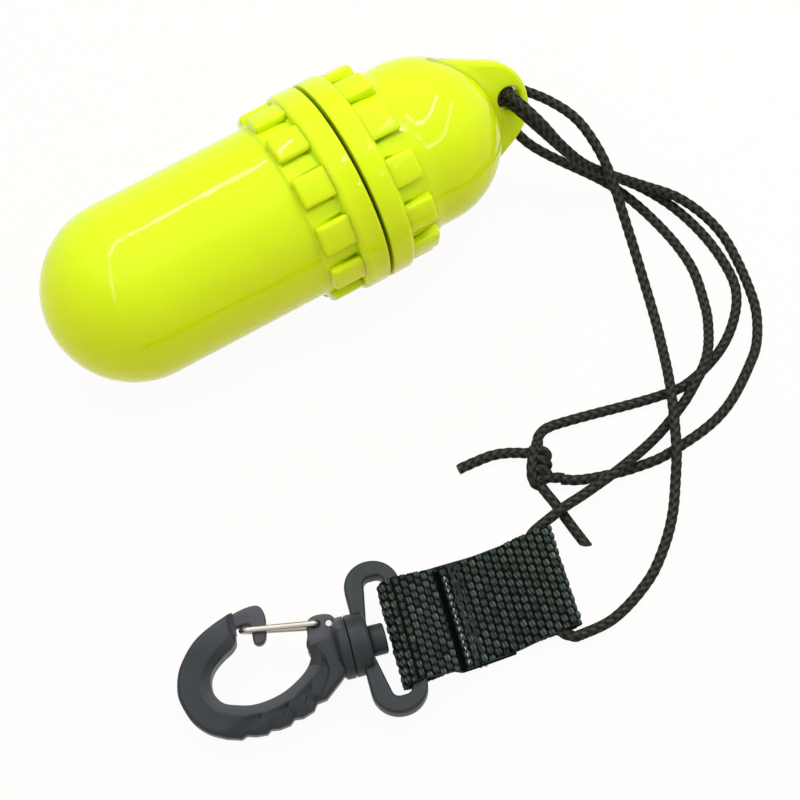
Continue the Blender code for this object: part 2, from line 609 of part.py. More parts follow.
# Two rows of thread sewn across the seam, each one continuous thread that dips at every stitch
stitch_count = round((WEBBING_WIDTH - 2 * STITCH_MARGIN) / STITCH_LENGTH)
for number, offset in enumerate(STITCH_ROWS, start=1):
    row = []
    for i in range(4 * stitch_count + 1):
        lift = STITCH_RADIUS * (1.4 if i % 4 in (1, 2, 3) else 0.4)
        y = -WEBBING_WIDTH / 2 + STITCH_MARGIN + i * STITCH_LENGTH / 4
        place = skew @ Vector((SEAM_START + GAP + offset, y, stack + STITCH_RADIUS + GAP + lift))
        row.append(strap_frame @ place)
    seam = tube(f"seam_thread_{number}", row, STITCH_RADIUS, None, THREAD)
    seam.data.bevel_resolution = 0

# Swivel loop: a flat ring whose near arm carries a round boss
loop_width = LOOP_BAR + LOOP_SLOT + LOOP_ARM
loop_mid = loop_width / 2 - LOOP_BAR / 2
end_radius = loop_width / 2
run = LOOP_HALF_LENGTH - end_radius
ring_outline = (arc((loop_mid, run), end_radius, 0.0, pi, 12)
                + arc((loop_mid, -run), end_radius, pi, 2 * pi, 12))
slot_near = LOOP_BAR / 2 + LOOP_SLOT_ROUND
slot_far = LOOP_BAR / 2 + LOOP_SLOT - LOOP_SLOT_ROUND
slot_run = LOOP_HALF_LENGTH - LOOP_END - LOOP_SLOT_ROUND
slot_corners = [(slot_far, slot_run), (slot_near, slot_run), (slot_near, -slot_run), (slot_far, -slot_run)]
slot_outline = []
for quarter, corner in enumerate(slot_corners):
    slot_outline += arc(corner, LOOP_SLOT_ROUND, quarter * pi / 2, (quarter + 1) * pi / 2, 3)
swivel_loop = pierced_plate("swivel_loop", [ring_outline, slot_outline], LOOP_THICKNESS, loop_axis,
                            CHARCOAL)
soften(swivel_loop, LOOP_ROUND)
along = Matrix.Rotation(pi / 2, 4, "Y")
boss_end = BOSS_FACE + BOSS_LENGTH
boss_profile = [
    (0.0, boss_end),
    (BOSS_RADIUS - COLLAR_ROUND, boss_end),
    (BOSS_RADIUS, boss_end - COLLAR_ROUND),
    (BOSS_RADIUS, BOSS_FACE + 2 * COLLAR_ROUND),
    (BOSS_RADIUS - 2 * COLLAR_ROUND, BOSS_FACE),
    (0.0, BOSS_FACE),
]
boss_frame = empty("boss_frame", loop_frame @ along)
combine(swivel_loop, turned("loop_boss", boss_profile, SMALL_STEPS, boss_frame), "UNION")
combine(swivel_loop, rod("boss_bore", STEM_RADIUS + STEM_CLEARANCE, 4 * BOSS_LENGTH,
                         Matrix.Translation((0, 0, boss_end)), boss_frame), "DIFFERENCE")


def curved(points, steps):
    """A smooth outline through points, in the plane."""
    even = smooth_route([(x, y, 0.0) for x, y in points], steps)
    return [(p.x, p.y) for p in even]


# Snap hook: a thick curved arm, a thin nose and ear for the gate, a collar, and a headed stem
outline_step = 0.0022
arm_outline = curved(HOOK_OUTER, outline_step) + HOOK_GRIP + curved(HOOK_INNER, outline_step)
snap_hook = plate("snap_hook", arm_outline, HOOK_THICKNESS, hook_axis, CHARCOAL)
soften(snap_hook, HOOK_ROUND)
combine(snap_hook, plate("nose_web", NOSE_WEB, WEB_THICKNESS, hook_axis), "UNION")
combine(snap_hook, plate("gate_ear", GATE_EAR, EAR_THICKNESS, hook_axis), "UNION")
head_end = LOOP_BAR / 2 + LOOP_SLOT - GAP
stem_profile = [
    (0.0, COLLAR_START + 2 * COLLAR_LENGTH),
    (BOSS_RADIUS * 0.55, COLLAR_START + 2 * COLLAR_LENGTH),
    (BOSS_RADIUS, COLLAR_START + COLLAR_LENGTH),
    (BOSS_RADIUS, COLLAR_START + COLLAR_ROUND),
    (BOSS_RADIUS - COLLAR_ROUND, COLLAR_START),
    (STEM_RADIUS, COLLAR_START),
    (STEM_RADIUS, head_end),
    (HEAD_RADIUS, head_end),
    (HEAD_RADIUS, head_end - HEAD_LENGTH + COLLAR_ROUND),
    (HEAD_RADIUS - COLLAR_ROUND, head_end - HEAD_LENGTH),
    (0.0, head_end - HEAD_LENGTH),
]
stem_frame = empty("stem_frame", loop_frame @ along)
combine(snap_hook, turned("swivel_stem", stem_profile, SMALL_STEPS, stem_frame), "UNION")

# The far leg's pin turns in a hole; the near leg's pin travels in a short curved slot
leg_z = EAR_THICKNESS / 2 + GAP + WIRE_RADIUS
combine(snap_hook, rod("pivot_hole", WIRE_RADIUS + PIVOT_CLEARANCE, 2 * EAR_THICKNESS,
                       Matrix.Translation((*GATE_PIVOT, 0)), hook_axis), "DIFFERENCE")
reach = GATE_LEG_END - GATE_PIVOT
slot_radius = WIRE_RADIUS + GAP
first = atan2(reach.y, reach.x)
pin_slot = (arc(GATE_PIVOT, reach.length + slot_radius, first, first + GATE_SWING, 4)
            + arc(GATE_PIVOT, reach.length - slot_radius, first + GATE_SWING, first, 4))
widened = []
for x, y in pin_slot:
    side = -1 if atan2(y - GATE_PIVOT.y, x - GATE_PIVOT.x) < first + GATE_SWING / 2 else 1
    spread = Matrix.Rotation(side * slot_radius / reach.length, 2)
    widened.append(spread @ (Vector((x, y)) - GATE_PIVOT) + GATE_PIVOT)
slot_cut = plate("pin_slot", [tuple(p) for p in widened], 2 * (PIN_DEPTH + GAP), hook_axis)
slot_cut.data.transform(Matrix.Translation((0, 0, EAR_THICKNESS / 2)))
combine(snap_hook, slot_cut, "DIFFERENCE")


def rounded_path(corners, radius, steps):
    """A path of straight runs with its corners rounded to a bend radius."""
    places = [Vector(c) for c in corners]
    path = [places[0]]
    for before, corner, after in zip(places, places[1:], places[2:]):
        back = (before - corner).normalized()
        ahead = (after - corner).normalized()
        half = back.angle(ahead) / 2
        cut = radius / tan(half)
        centre = corner + (back + ahead).normalized() * radius / sin(half)
        start = (corner + back * cut - centre).normalized()
        end = (corner + ahead * cut - centre).normalized()
        for i in range(steps + 1):
            path.append(centre + start.slerp(end, i / steps) * radius)
    return path + [places[-1]]


# Wire gate: one bent wire, its far pin right through the ear
pin_bend = 0.9 * WIRE_RADIUS + GAP
pivot_frame = empty("gate_axis", hook_frame @ Matrix.Translation((*GATE_PIVOT, 0)))
tip = GATE_TIP - GATE_PIVOT
gate_corners = [
    (0, 0, EAR_THICKNESS / 2), (0, 0, -leg_z), (*tip, -leg_z), (*tip, leg_z),
    (*reach, leg_z), (*reach, EAR_THICKNESS / 2 - PIN_DEPTH),
]
gate_path = (rounded_path(gate_corners[:3], pin_bend, 3)[:-1]
             + rounded_path(gate_corners[1:5], WIRE_BEND, 5)[1:-1]
             + rounded_path(gate_corners[3:], pin_bend, 3)[1:])
gate_wire = tube("gate_wire", gate_path, WIRE_RADIUS, pivot_frame, STEEL)

# Lanyard: the whole route is one smooth curve, cut into its stretches
eye_face = Vector((-cos(TAB_TURN) * sin(lean), -sin(TAB_TURN), cos(TAB_TURN) * cos(lean)))
eye_up = eye_face.cross(axis)
hole = dome_centre + axis * EYELET_HEIGHT


def at_eyelet(points):
    """Places given from the eyelet's hole, along its face's normal, up the tab and along the axis."""
    return [hole + eye_face * n + eye_up * w + axis * a for n, w, a in points]


stretches = [
    ("inner_knot_run", INNER_KNOT_RUN, 8.0),
    ("lower_eye_turn", at_eyelet(LOWER_EYE_TURN), 2.4),
    ("short_strap_run", SHORT_STRAP_RUN, 7.5),
    ("sleeve_run", [strap_frame @ Vector((x, -l, z)) for x, l, z in SLEEVE_RUN], 4.0),
    ("long_strap_run", LONG_STRAP_RUN, 8.0),
    ("upper_eye_turn", at_eyelet(UPPER_EYE_TURN), 2.4),
    ("outer_knot_run", OUTER_KNOT_RUN, 8.0),
]
cord_step = 0.0002
whole = [p for _, points, _ in stretches for p in points]
cord_path = smooth_route(whole, cord_step)


def nearest(place):
    """Index of the point of the cord's path that lies nearest a place."""
    return min(range(len(cord_path)), key=lambda i: (cord_path[i] - Vector(place)).length)


starts = [nearest(points[0]) for _, points, _ in stretches]
ends = starts[1:] + [len(cord_path) - 1]
trim = round(GAP / 2 / cord_step) + 1
for (name, _, diameters), start, end in zip(stretches, starts, ends):
    run_points = cord_path[start + trim:end - trim + 1]
    count = max(2, round(len(run_points) * cord_step / (diameters * CORD_RADIUS)))
    picked = [run_points[round(i * (len(run_points) - 1) / count)] for i in range(count + 1)]
    tube(f"lanyard_{name}", picked, CORD_RADIUS, None, CORD)
for name, points in (("left_tail", LEFT_TAIL), ("right_tail", RIGHT_TAIL)):
    tube(f"lanyard_{name}", smooth_route(points, 3 * CORD_RADIUS), CORD_RADIUS, None, CORD)

# Knot: a plain rounded lump of the knot's outer size
knot_mesh = bpy.data.meshes.new("lanyard_knot")
knot_shape = bmesh.new()
bmesh.ops.create_uvsphere(knot_shape, u_segments=16, v_segments=10, radius=1.0)
bmesh.ops.transform(knot_shape, verts=knot_shape.verts,
                    matrix=Matrix.Translation(KNOT_CENTRE) @ Matrix.Rotation(KNOT_TURN, 4, "Z")
                    @ Matrix.Diagonal((KNOT_HALF_LENGTH, KNOT_HALF_WIDTH, KNOT_HALF_WIDTH, 1.0)))
knot_shape.to_mesh(knot_mesh)
knot_shape.free()
lanyard_knot = new_object("lanyard_knot", knot_mesh, None, CORD)

for piece in parts.objects:
    if piece.type == "MESH":
        piece.data.shade_smooth()
        piece.data.set_sharp_from_angle(angle=radians(35))
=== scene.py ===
"""Looks of a screw-top dry capsule on its lanyard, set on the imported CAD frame, in metres.

Each piece follows in the order in which the thing is put together: the capsule and its seal, the
lanyard and its knot, the webbing tab, the swivel loop, the snap hook and its gate, then the studio.
"""

import json
from math import acos, asin, atan2, ceil, cos, hypot, pi, radians, sin, sqrt, tan

import bmesh
import bpy
from mathutils import Matrix, Vector, geometry, noise


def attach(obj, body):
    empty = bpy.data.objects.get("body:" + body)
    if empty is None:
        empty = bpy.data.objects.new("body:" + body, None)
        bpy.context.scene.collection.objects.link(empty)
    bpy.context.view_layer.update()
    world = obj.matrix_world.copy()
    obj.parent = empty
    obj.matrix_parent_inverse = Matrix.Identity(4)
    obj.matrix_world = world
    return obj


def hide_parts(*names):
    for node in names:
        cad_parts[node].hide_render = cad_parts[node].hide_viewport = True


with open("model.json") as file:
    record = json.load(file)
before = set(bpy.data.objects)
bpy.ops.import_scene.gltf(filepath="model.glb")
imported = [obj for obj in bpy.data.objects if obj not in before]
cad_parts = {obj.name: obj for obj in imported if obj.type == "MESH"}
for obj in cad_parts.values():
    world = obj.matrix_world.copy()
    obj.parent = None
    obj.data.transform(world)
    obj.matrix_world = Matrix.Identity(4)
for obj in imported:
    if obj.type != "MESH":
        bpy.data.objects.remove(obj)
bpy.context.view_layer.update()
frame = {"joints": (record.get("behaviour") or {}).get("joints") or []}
joints = {joint["name"]: joint for joint in frame["joints"]}


# Capsule body: one injection moulding in fluorescent yellow plastic, a round-ended tube with a
# collar of grip lugs, a sealing flange and a threaded neck that the cap screws on to.
BODY_RADIUS = 0.0220
BODY_WALL = 0.0024
INNER_STEP_ROUND = 0.0005
COLLAR_START = 0.0406
COLLAR_RADIUS = 0.0227
COLLAR_FILLET = 0.0008
LUG_RADIUS = 0.0247
LUG_COUNT = 12
LUG_HALF_ANGLE = radians(9.0)
LUG_ROUND = 0.00075
LUG_SLOPE = 0.0005
LUG_SINK = 0.0010
BODY_LUG_TURN = radians(-2.3)
FLANGE_RADIUS = 0.0256
FLANGE_ROUND = 0.0016
FLANGE_FILLET = 0.0006
FLANGE_EDGE = 0.0004
FLANGE_START = 0.0488
FLANGE_FACE = 0.0552
GROOVE_INSIDE = 0.0214
GROOVE_OUTSIDE = 0.0246
GROOVE_FLOOR = 0.0532
GROOVE_EDGE = 0.0002
LIP_EDGE = 0.00005
NECK_RADIUS = 0.0190
NECK_BORE = 0.0166
NECK_END = 0.0692
NECK_ROUND = 0.0008
NECK_FILLET = 0.0003
MOUTH_ROUND = 0.0004
THREAD_PITCH = 0.0040
THREAD_HEIGHT = 0.0008
THREAD_TURNS = 1.6
THREAD_START = 0.0602
TURN_STEPS = 120
CHORD_ERROR = 0.000004
MERGE = 0.000002

axis = -Vector(joints["unscrew"]["axis"])
dome_centre = Vector(joints["unscrew"]["pos_m"])
capsule_place = Matrix.Translation(dome_centre) @ Matrix.Rotation(pi / 2 - asin(axis.z), 4, "Y")


def corner_arc(before, corner, after, radius):
    """Centre of the arc that rounds a corner, both its ends seen from there, and half the corner's angle."""
    back, ahead = (before - corner).normalized(), (after - corner).normalized()
    half = back.angle(ahead) / 2
    centre = corner + (back + ahead).normalized() * radius / sin(half)
    start = corner + back * radius / tan(half) - centre
    end = corner + ahead * radius / tan(half) - centre
    return centre, start, end, half


def rounded_outline(corners):
    """Points through (x, y, radius) corners, each corner rounded by an arc of its own radius."""
    places = [Vector(corner[:2]) for corner in corners]
    outline = [places[0]]
    for before, corner, after, (_, _, radius) in zip(places, places[1:], places[2:], corners[1:]):
        if not radius:
            outline.append(corner)
            continue
        centre, start, end, half = corner_arc(before, corner, after, radius)
        sweep = (pi - 2 * half) * (1 if start.cross(end) > 0 else -1)
        steps = max(2, ceil(abs(sweep) / sqrt(8 * CHORD_ERROR / radius)))
        outline += [centre + Matrix.Rotation(sweep * i / steps, 2) @ start for i in range(steps + 1)]
    return outline + [places[-1]]


def spun(outline, steps=TURN_STEPS):
    """A new shape: an (x, z) outline turned once about local Z."""
    shape = bmesh.new()
    verts = [shape.verts.new((x, 0.0, z)) for x, z in outline]
    edges = [shape.edges.new(pair) for pair in zip(verts, verts[1:])]
    bmesh.ops.spin(shape, geom=verts + edges, cent=(0, 0, 0), axis=(0, 0, 1), angle=2 * pi, steps=steps,
                   use_merge=True)
    bmesh.ops.remove_doubles(shape, verts=shape.verts, dist=MERGE)
    bmesh.ops.recalc_face_normals(shape, faces=shape.faces)
    return shape


def raise_lugs(shape, free_end, flange_end):
    """Pull the grip lugs out of the collar, and round them except where they run into the flange."""
    low, high = sorted((free_end, flange_end))
    inwards = 1 if flange_end > free_end else -1
    pitch = 2 * pi / LUG_COUNT
    band = []
    for face in shape.faces:
        centre = face.calc_center_median()
        off = (atan2(centre.y, centre.x) + pitch / 2) % pitch - pitch / 2
        if low < centre.z < high and abs(off) < LUG_HALF_ANGLE and face.normal.xy.dot(centre.xy) > 0:
            band.append(face)
    grown = bmesh.ops.extrude_face_region(shape, geom=band)["geom"]
    tops = {item for item in grown if isinstance(item, bmesh.types.BMFace)}
    lifted = {item for item in grown if isinstance(item, bmesh.types.BMVert)}
    for vert in lifted:
        at_free_end = abs(vert.co.z - free_end) < abs(vert.co.z - flange_end)
        vert.co.xy *= LUG_RADIUS / hypot(vert.co.x, vert.co.y)
        vert.co.z += inwards * (LUG_SLOPE if at_free_end else LUG_SINK)
    walls = {face for vert in lifted for face in vert.link_faces} - tops
    rounded = []
    for edge in {edge for face in walls for edge in face.edges}:
        beside = [len(kind.intersection(edge.link_faces)) for kind in (tops, walls)]
        corner = beside == [0, 2] and all(len(tops.intersection(vert.link_faces)) == 1
                                          for vert in edge.verts if vert in lifted)
        at_flange = all(abs(vert.co.z - free_end) > abs(vert.co.z - flange_end) for vert in edge.verts)
        if not at_flange and (beside in ([1, 1], [0, 1]) or corner):
            rounded.append(edge)
    bmesh.ops.bevel(shape, geom=rounded, offset=LUG_ROUND, segments=3, profile=0.5, affect="EDGES",
                    material=-1, clamp_overlap=True)


def add_thread(shape, radius, start, inward):
    """Wind a rounded screw ridge on a wall, sunk a little way into it."""
    height = -THREAD_HEIGHT if inward else THREAD_HEIGHT
    foot = radius - height / 2
    section = [(foot, -THREAD_HEIGHT), (foot + height, -THREAD_HEIGHT / 2),
               (foot + height, THREAD_HEIGHT / 2), (foot, THREAD_HEIGHT)]
    verts = [shape.verts.new((x, 0.0, start + z)) for x, z in section]
    face = shape.faces.new(verts)
    steps = round(THREAD_TURNS * TURN_STEPS)
    bmesh.ops.spin(shape, geom=[face, *face.edges, *verts], cent=(0, 0, 0), axis=(0, 0, 1),
                   dvec=(0, 0, THREAD_PITCH / TURN_STEPS), angle=2 * pi * THREAD_TURNS, steps=steps)
    bmesh.ops.recalc_face_normals(shape, faces=shape.faces)


class Field:
    """A value that varies over a surface: a node's socket that takes part in Python sums."""

    def __init__(self, socket):
        self.socket = socket

    def node(self, kind, settings, inputs, output=0):
        """Add a node, set it up, and feed its sockets with other fields or plain values."""
        tree = self.socket.id_data
        node = tree.nodes.new(kind)
        for name, value in settings.items():
            setattr(node, name, value)
        for name, value in inputs.items():
            if isinstance(value, Field):
                tree.links.new(value.socket, node.inputs[name])
            else:
                node.inputs[name].default_value = value
        return Field(node.outputs[output])

    def maths(self, operation, other):
        return self.node("ShaderNodeMath", {"operation": operation}, {0: self, 1: other})

    def __add__(self, other):
        return self.maths("ADD", other)

    def __mul__(self, other):
        return self.maths("MULTIPLY", other)

    def cloud(self, scale, detail=2.0):
        """Smooth noise from 0 to 1 at these coordinates."""
        return self.node("ShaderNodeTexNoise", {}, {"Vector": self, "Scale": scale, "Detail": detail})

    def between(self, low, high):
        """A colour that goes from one to another as this value goes from 0 to 1."""
        return self.node("ShaderNodeMix", {"data_type": "RGBA"},
                         {"Factor": self, "A": (*low, 1.0), "B": (*high, 1.0)}, "Result")

    def bump(self, distance):
        """Normals of a surface that this value lifts by up to a distance."""
        return self.node("ShaderNodeBump", {}, {"Height": self, "Distance": distance})


def new_finish(name, sockets):
    """Start a finish: its material, its shader with fixed sockets set, and its Object coordinates."""
    material = bpy.data.materials.new(name)
    material.use_nodes = True
    tree = material.node_tree
    shader = tree.nodes["Principled BSDF"]
    for socket, value in sockets.items():
        shader.inputs[socket].default_value = value
    return material, shader, Field(tree.nodes.new("ShaderNodeTexCoord").outputs["Object"])


def feed(shader, fields):
    """Link fields to a shader's sockets."""
    for socket, field in fields.items():
        field.socket.id_data.links.new(field.socket, shader.inputs[socket])


def move(shape, place):
    """Move a whole shape by a matrix."""
    bmesh.ops.transform(shape, matrix=place, verts=shape.verts)


def new_piece(name, shape, material, body, nodes, place=Matrix()):
    """Make a shape into a piece that rides on a body in place of its CAD nodes."""
    move(shape, place)
    mesh = bpy.data.meshes.new(name)
    shape.to_mesh(mesh)
    shape.free()
    mesh.materials.append(material)
    mesh.shade_smooth()
    mesh.set_sharp_from_angle(angle=radians(40))
    piece = bpy.data.objects.new(name, mesh)
    bpy.context.scene.collection.objects.link(piece)
    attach(piece, body)
    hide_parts(*nodes)
    return piece


# The colour is faintly mottled, and shallow ripples of about 2 mm break the glints.
yellow_plastic, shader, here = new_finish("yellow_plastic_gloss", {
    "Specular IOR Level": 0.16, "Subsurface Weight": 0.5, "Subsurface Radius": (1.0, 1.0, 0.2),
    "Subsurface Scale": 0.003})
feed(shader, {
    "Base Color": here.cloud(70.0).between((0.670, 0.860, 0.005), (0.710, 0.900, 0.008)),
    "Roughness": here.cloud(900.0, 4.0) * 0.03 + 0.035,
    "Normal": here.cloud(480.0, 3.0).bump(0.000048),
})

body_corners = [
    (0.0, BODY_WALL - BODY_RADIUS, 0),
    (BODY_RADIUS - BODY_WALL, BODY_WALL - BODY_RADIUS, BODY_RADIUS - BODY_WALL - MERGE),
    (BODY_RADIUS - BODY_WALL, COLLAR_START + BODY_WALL, INNER_STEP_ROUND),
    (NECK_BORE, FLANGE_START, INNER_STEP_ROUND),
    (NECK_BORE, NECK_END, MOUTH_ROUND),
    (NECK_RADIUS, NECK_END, NECK_ROUND),
    (NECK_RADIUS, FLANGE_FACE, NECK_FILLET),
    (GROOVE_INSIDE, FLANGE_FACE, GROOVE_EDGE),
    (GROOVE_INSIDE, GROOVE_FLOOR, 0),
    (GROOVE_OUTSIDE, GROOVE_FLOOR, 0),
    (GROOVE_OUTSIDE, FLANGE_FACE, LIP_EDGE),
    (FLANGE_RADIUS, FLANGE_FACE, FLANGE_EDGE),
    (FLANGE_RADIUS, FLANGE_START, FLANGE_ROUND),
    (COLLAR_RADIUS, FLANGE_START, FLANGE_FILLET),
    (COLLAR_RADIUS, FLANGE_START - FLANGE_FILLET, 0),
    (COLLAR_RADIUS, COLLAR_START, 0),
    (BODY_RADIUS, COLLAR_START + BODY_RADIUS - COLLAR_RADIUS, COLLAR_FILLET),
    (BODY_RADIUS, -BODY_RADIUS, BODY_RADIUS - MERGE),
    (0.0, -BODY_RADIUS, 0),
]
body_shape = spun(rounded_outline(body_corners))
raise_lugs(body_shape, COLLAR_START, FLANGE_START - FLANGE_FILLET)
move(body_shape, Matrix.Rotation(BODY_LUG_TURN, 4, "Z"))
add_thread(body_shape, NECK_RADIUS, THREAD_START, False)
new_piece("body_shell", body_shape, yellow_plastic, "capsule", ["capsule_body"],
          capsule_place)


# Cap: a second yellow moulding with a matching flange and lugs, a domed end with a skirt that is
# threaded inside, and a flat eyelet tab that grows out of the dome with a fillet all round.
CAP_RADIUS = 0.0208
CAP_WALL = 0.0024
CAP_FACE = 0.0562
CAP_LUG_START = 0.0624
CAP_BARREL_START = 0.0699
CAP_CENTRE = 0.0770
CAP_SHOULDER = 0.0217
CAP_SHOULDER_ROUND = 0.0006
CAP_TAPER_LENGTH = 0.0030
CAP_TAPER_ROUND = 0.0060
CAP_LUG_TURN = radians(11.1)
SKIRT_RADIUS = 0.0202
SKIRT_END = 0.0712
TAB_HALF_THICKNESS = 0.0022
TAB_ROUND = 0.0013
TAB_FILLET = 0.0028
TAB_END_RADIUS = 0.0123
TAB_END_CENTRE = 0.0184
TAB_TURN = radians(59.0)
TAB_STEPS = 72
EYELET_PLACE = 0.0255
EYELET_RADIUS = 0.0030
EYELET_ROUND = 0.0007
EYELET_FLARE_END = radians(100)
EYELET_STEPS = 48


def carved(shape, cutter):
    """Cut one closed shape out of another, and return what is left."""
    holders = []
    for source in (shape, cutter):
        mesh = bpy.data.meshes.new("carving")
        source.to_mesh(mesh)
        source.free()
        holders.append(bpy.data.objects.new("carving", mesh))
        bpy.context.scene.collection.objects.link(holders[-1])
    cut = holders[0].modifiers.new("cut", "BOOLEAN")
    cut.operation = "DIFFERENCE"
    cut.solver = "EXACT"
    cut.object = holders[1]
    left = bmesh.new()
    left.from_object(holders[0], bpy.context.evaluated_depsgraph_get())
    for holder in holders:
        bpy.data.meshes.remove(holder.data)
    return left


def skin(shape, sections):
    """Join neighbouring sections, each a loop of points, by bands of faces, and close both ends."""
    loops = [[shape.verts.new(point) for point in section] for section in sections]
    for low, high in zip(loops, loops[1:]):
        for i in range(len(low)):
            shape.faces.new((low[i - 1], low[i], high[i], high[i - 1]))
    shape.faces.new(loops[0])
    shape.faces.new(loops[-1])
    bmesh.ops.recalc_face_normals(shape, faces=shape.faces)
    return loops


def arc(centre, radius, start, end, steps):
    """Points on an arc from one angle to another, both included."""
    angles = [start + (end - start) * i / steps for i in range(steps + 1)]
    return [Vector((centre[0] + radius * cos(a), centre[1] + radius * sin(a))) for a in angles]


def tab_section(edge):
    """Half of the tab's section on a line from the dome's centre, as (along the line, off its plane).

    It leaves the dome by a rolling-ball fillet, which runs on to the tab's flat face or, where the
    tab is narrow, straight on to its rounded edge.
    """
    rim = Vector((edge - TAB_ROUND, TAB_HALF_THICKNESS - TAB_ROUND))
    ball_reach = CAP_RADIUS + TAB_FILLET
    ball_height = TAB_HALF_THICKNESS + TAB_FILLET
    ball = Vector((sqrt(ball_reach**2 - ball_height**2), ball_height))
    rim_start = pi / 2
    if ball.x > rim.x:
        share = (ball_reach**2 - (TAB_ROUND + TAB_FILLET)**2 + rim.length_squared) / (2 * rim.length)
        off = acos(min(1.0, share / ball_reach))
        angle = atan2(rim.y, rim.x) + off
        ball = Vector((cos(angle), sin(angle))) * ball_reach
        rim_start = atan2(ball.y - rim.y, ball.x - rim.x)
    fillet = arc(ball, TAB_FILLET, atan2(ball.y, ball.x) + pi, rim_start + pi, 10)
    rounding = arc(rim, TAB_ROUND, rim_start, 0.0, 8)
    root = fillet[0] * (1 - CAP_WALL / 2 / CAP_RADIUS)
    face = [fillet[-1].lerp(rounding[0], i / 6) for i in range(1, 6)]
    return [root, *fillet, *face, *rounding]


cap_corners = [
    (0.0, CAP_CENTRE + CAP_RADIUS, 0),
    (CAP_RADIUS, CAP_CENTRE + CAP_RADIUS, CAP_RADIUS - MERGE),
    (CAP_RADIUS, CAP_BARREL_START + CAP_TAPER_LENGTH, CAP_TAPER_ROUND),
    (CAP_SHOULDER, CAP_BARREL_START + LUG_ROUND, CAP_SHOULDER_ROUND),
    (CAP_SHOULDER, CAP_BARREL_START, 0),
    (COLLAR_RADIUS, CAP_LUG_START + FLANGE_FILLET, 0),
    (COLLAR_RADIUS, CAP_LUG_START, FLANGE_FILLET),
    (FLANGE_RADIUS, CAP_LUG_START, FLANGE_ROUND),
    (FLANGE_RADIUS, CAP_FACE, FLANGE_EDGE),
    (SKIRT_RADIUS, CAP_FACE, MOUTH_ROUND),
    (SKIRT_RADIUS, SKIRT_END - SKIRT_RADIUS + CAP_RADIUS - CAP_WALL, 0),
    (CAP_RADIUS - CAP_WALL, SKIRT_END, 0),
    (CAP_RADIUS - CAP_WALL, CAP_CENTRE + CAP_RADIUS - CAP_WALL, CAP_RADIUS - CAP_WALL - MERGE),
    (0.0, CAP_CENTRE + CAP_RADIUS - CAP_WALL, 0),
]
cap_shape = spun(rounded_outline(cap_corners))
raise_lugs(cap_shape, CAP_BARREL_START, CAP_LUG_START + FLANGE_FILLET)
move(cap_shape, Matrix.Rotation(CAP_LUG_TURN, 4, "Z"))
add_thread(cap_shape, SKIRT_RADIUS, THREAD_START - THREAD_PITCH / 2, True)

tab_shape = bmesh.new()
tab_limit = acos((CAP_RADIUS - TAB_END_RADIUS) / TAB_END_CENTRE)
end_limit = atan2(TAB_END_RADIUS * sin(tab_limit), TAB_END_CENTRE + TAB_END_RADIUS * cos(tab_limit))
tab_sections = []
for step in range(TAB_STEPS + 1):
    turn = tab_limit * (2 * step / TAB_STEPS - 1)
    if abs(turn) < end_limit:
        edge = TAB_END_CENTRE * cos(turn) + sqrt(TAB_END_RADIUS**2 - (TAB_END_CENTRE * sin(turn))**2)
    else:
        edge = CAP_RADIUS / cos(tab_limit - abs(turn))
    half = tab_section(edge)
    section = [(p.x, p.y) for p in half] + [(p.x, -p.y) for p in reversed(half)]
    tab_sections.append([(reach * cos(turn), reach * sin(turn), off) for reach, off in section])
skin(tab_shape, tab_sections)
bmesh.ops.remove_doubles(tab_shape, verts=tab_shape.verts, dist=MERGE)
flare = arc((EYELET_RADIUS + EYELET_ROUND, TAB_HALF_THICKNESS - EYELET_ROUND), EYELET_ROUND, pi,
            EYELET_FLARE_END, 6)
bore_end = 2 * TAB_HALF_THICKNESS
bore = [(0.0, -bore_end), (flare[-1].x, -bore_end)] + [(p.x, -p.y) for p in reversed(flare)]
bore += [(p.x, p.y) for p in flare] + [(flare[-1].x, bore_end), (0.0, bore_end)]
bore_shape = spun(bore, EYELET_STEPS)
move(bore_shape, Matrix.Translation((EYELET_PLACE, 0, 0)))
tab_shape = carved(tab_shape, bore_shape)


def set_at(place, *axes):
    """Placement at a point with its X, Y and Z along three directions."""
    return Matrix.Translation(place) @ Matrix(axes).transposed().to_4x4()


def join(shape, other):
    """Move another shape's faces into a shape."""
    mesh = bpy.data.meshes.new("joining")
    other.to_mesh(mesh)
    other.free()
    shape.from_mesh(mesh)
    bpy.data.meshes.remove(mesh)


tab_side = Vector((-sin(TAB_TURN), cos(TAB_TURN), 0))
move(tab_shape, set_at((0, 0, CAP_CENTRE), (0, 0, 1), tab_side, (-tab_side.y, tab_side.x, 0)))
join(cap_shape, tab_shape)
new_piece("cap_shell", cap_shape, yellow_plastic, "cap", ["screw_cap"], capsule_place)


# Seal: a black rubber ring that sits in the body's groove and shows as the line between the two
# flanges when the cap is screwed down.
SEAL_RADIUS = 0.0230
SEAL_SECTION = 0.00125
SEAL_PLACE = 0.05475

black_rubber, shader, here = new_finish("black_rubber_matt", {"Base Color": (0.012, 0.012, 0.012, 1.0)})
feed(shader, {"Roughness": here.cloud(600.0) * 0.2 + 0.45})
seal_shape = spun(arc((SEAL_RADIUS, SEAL_PLACE), SEAL_SECTION, 0.0, 2 * pi, 24))
new_piece("seal_ring", seal_shape, black_rubber, "seal", ["sealing_ring"], capsule_place)


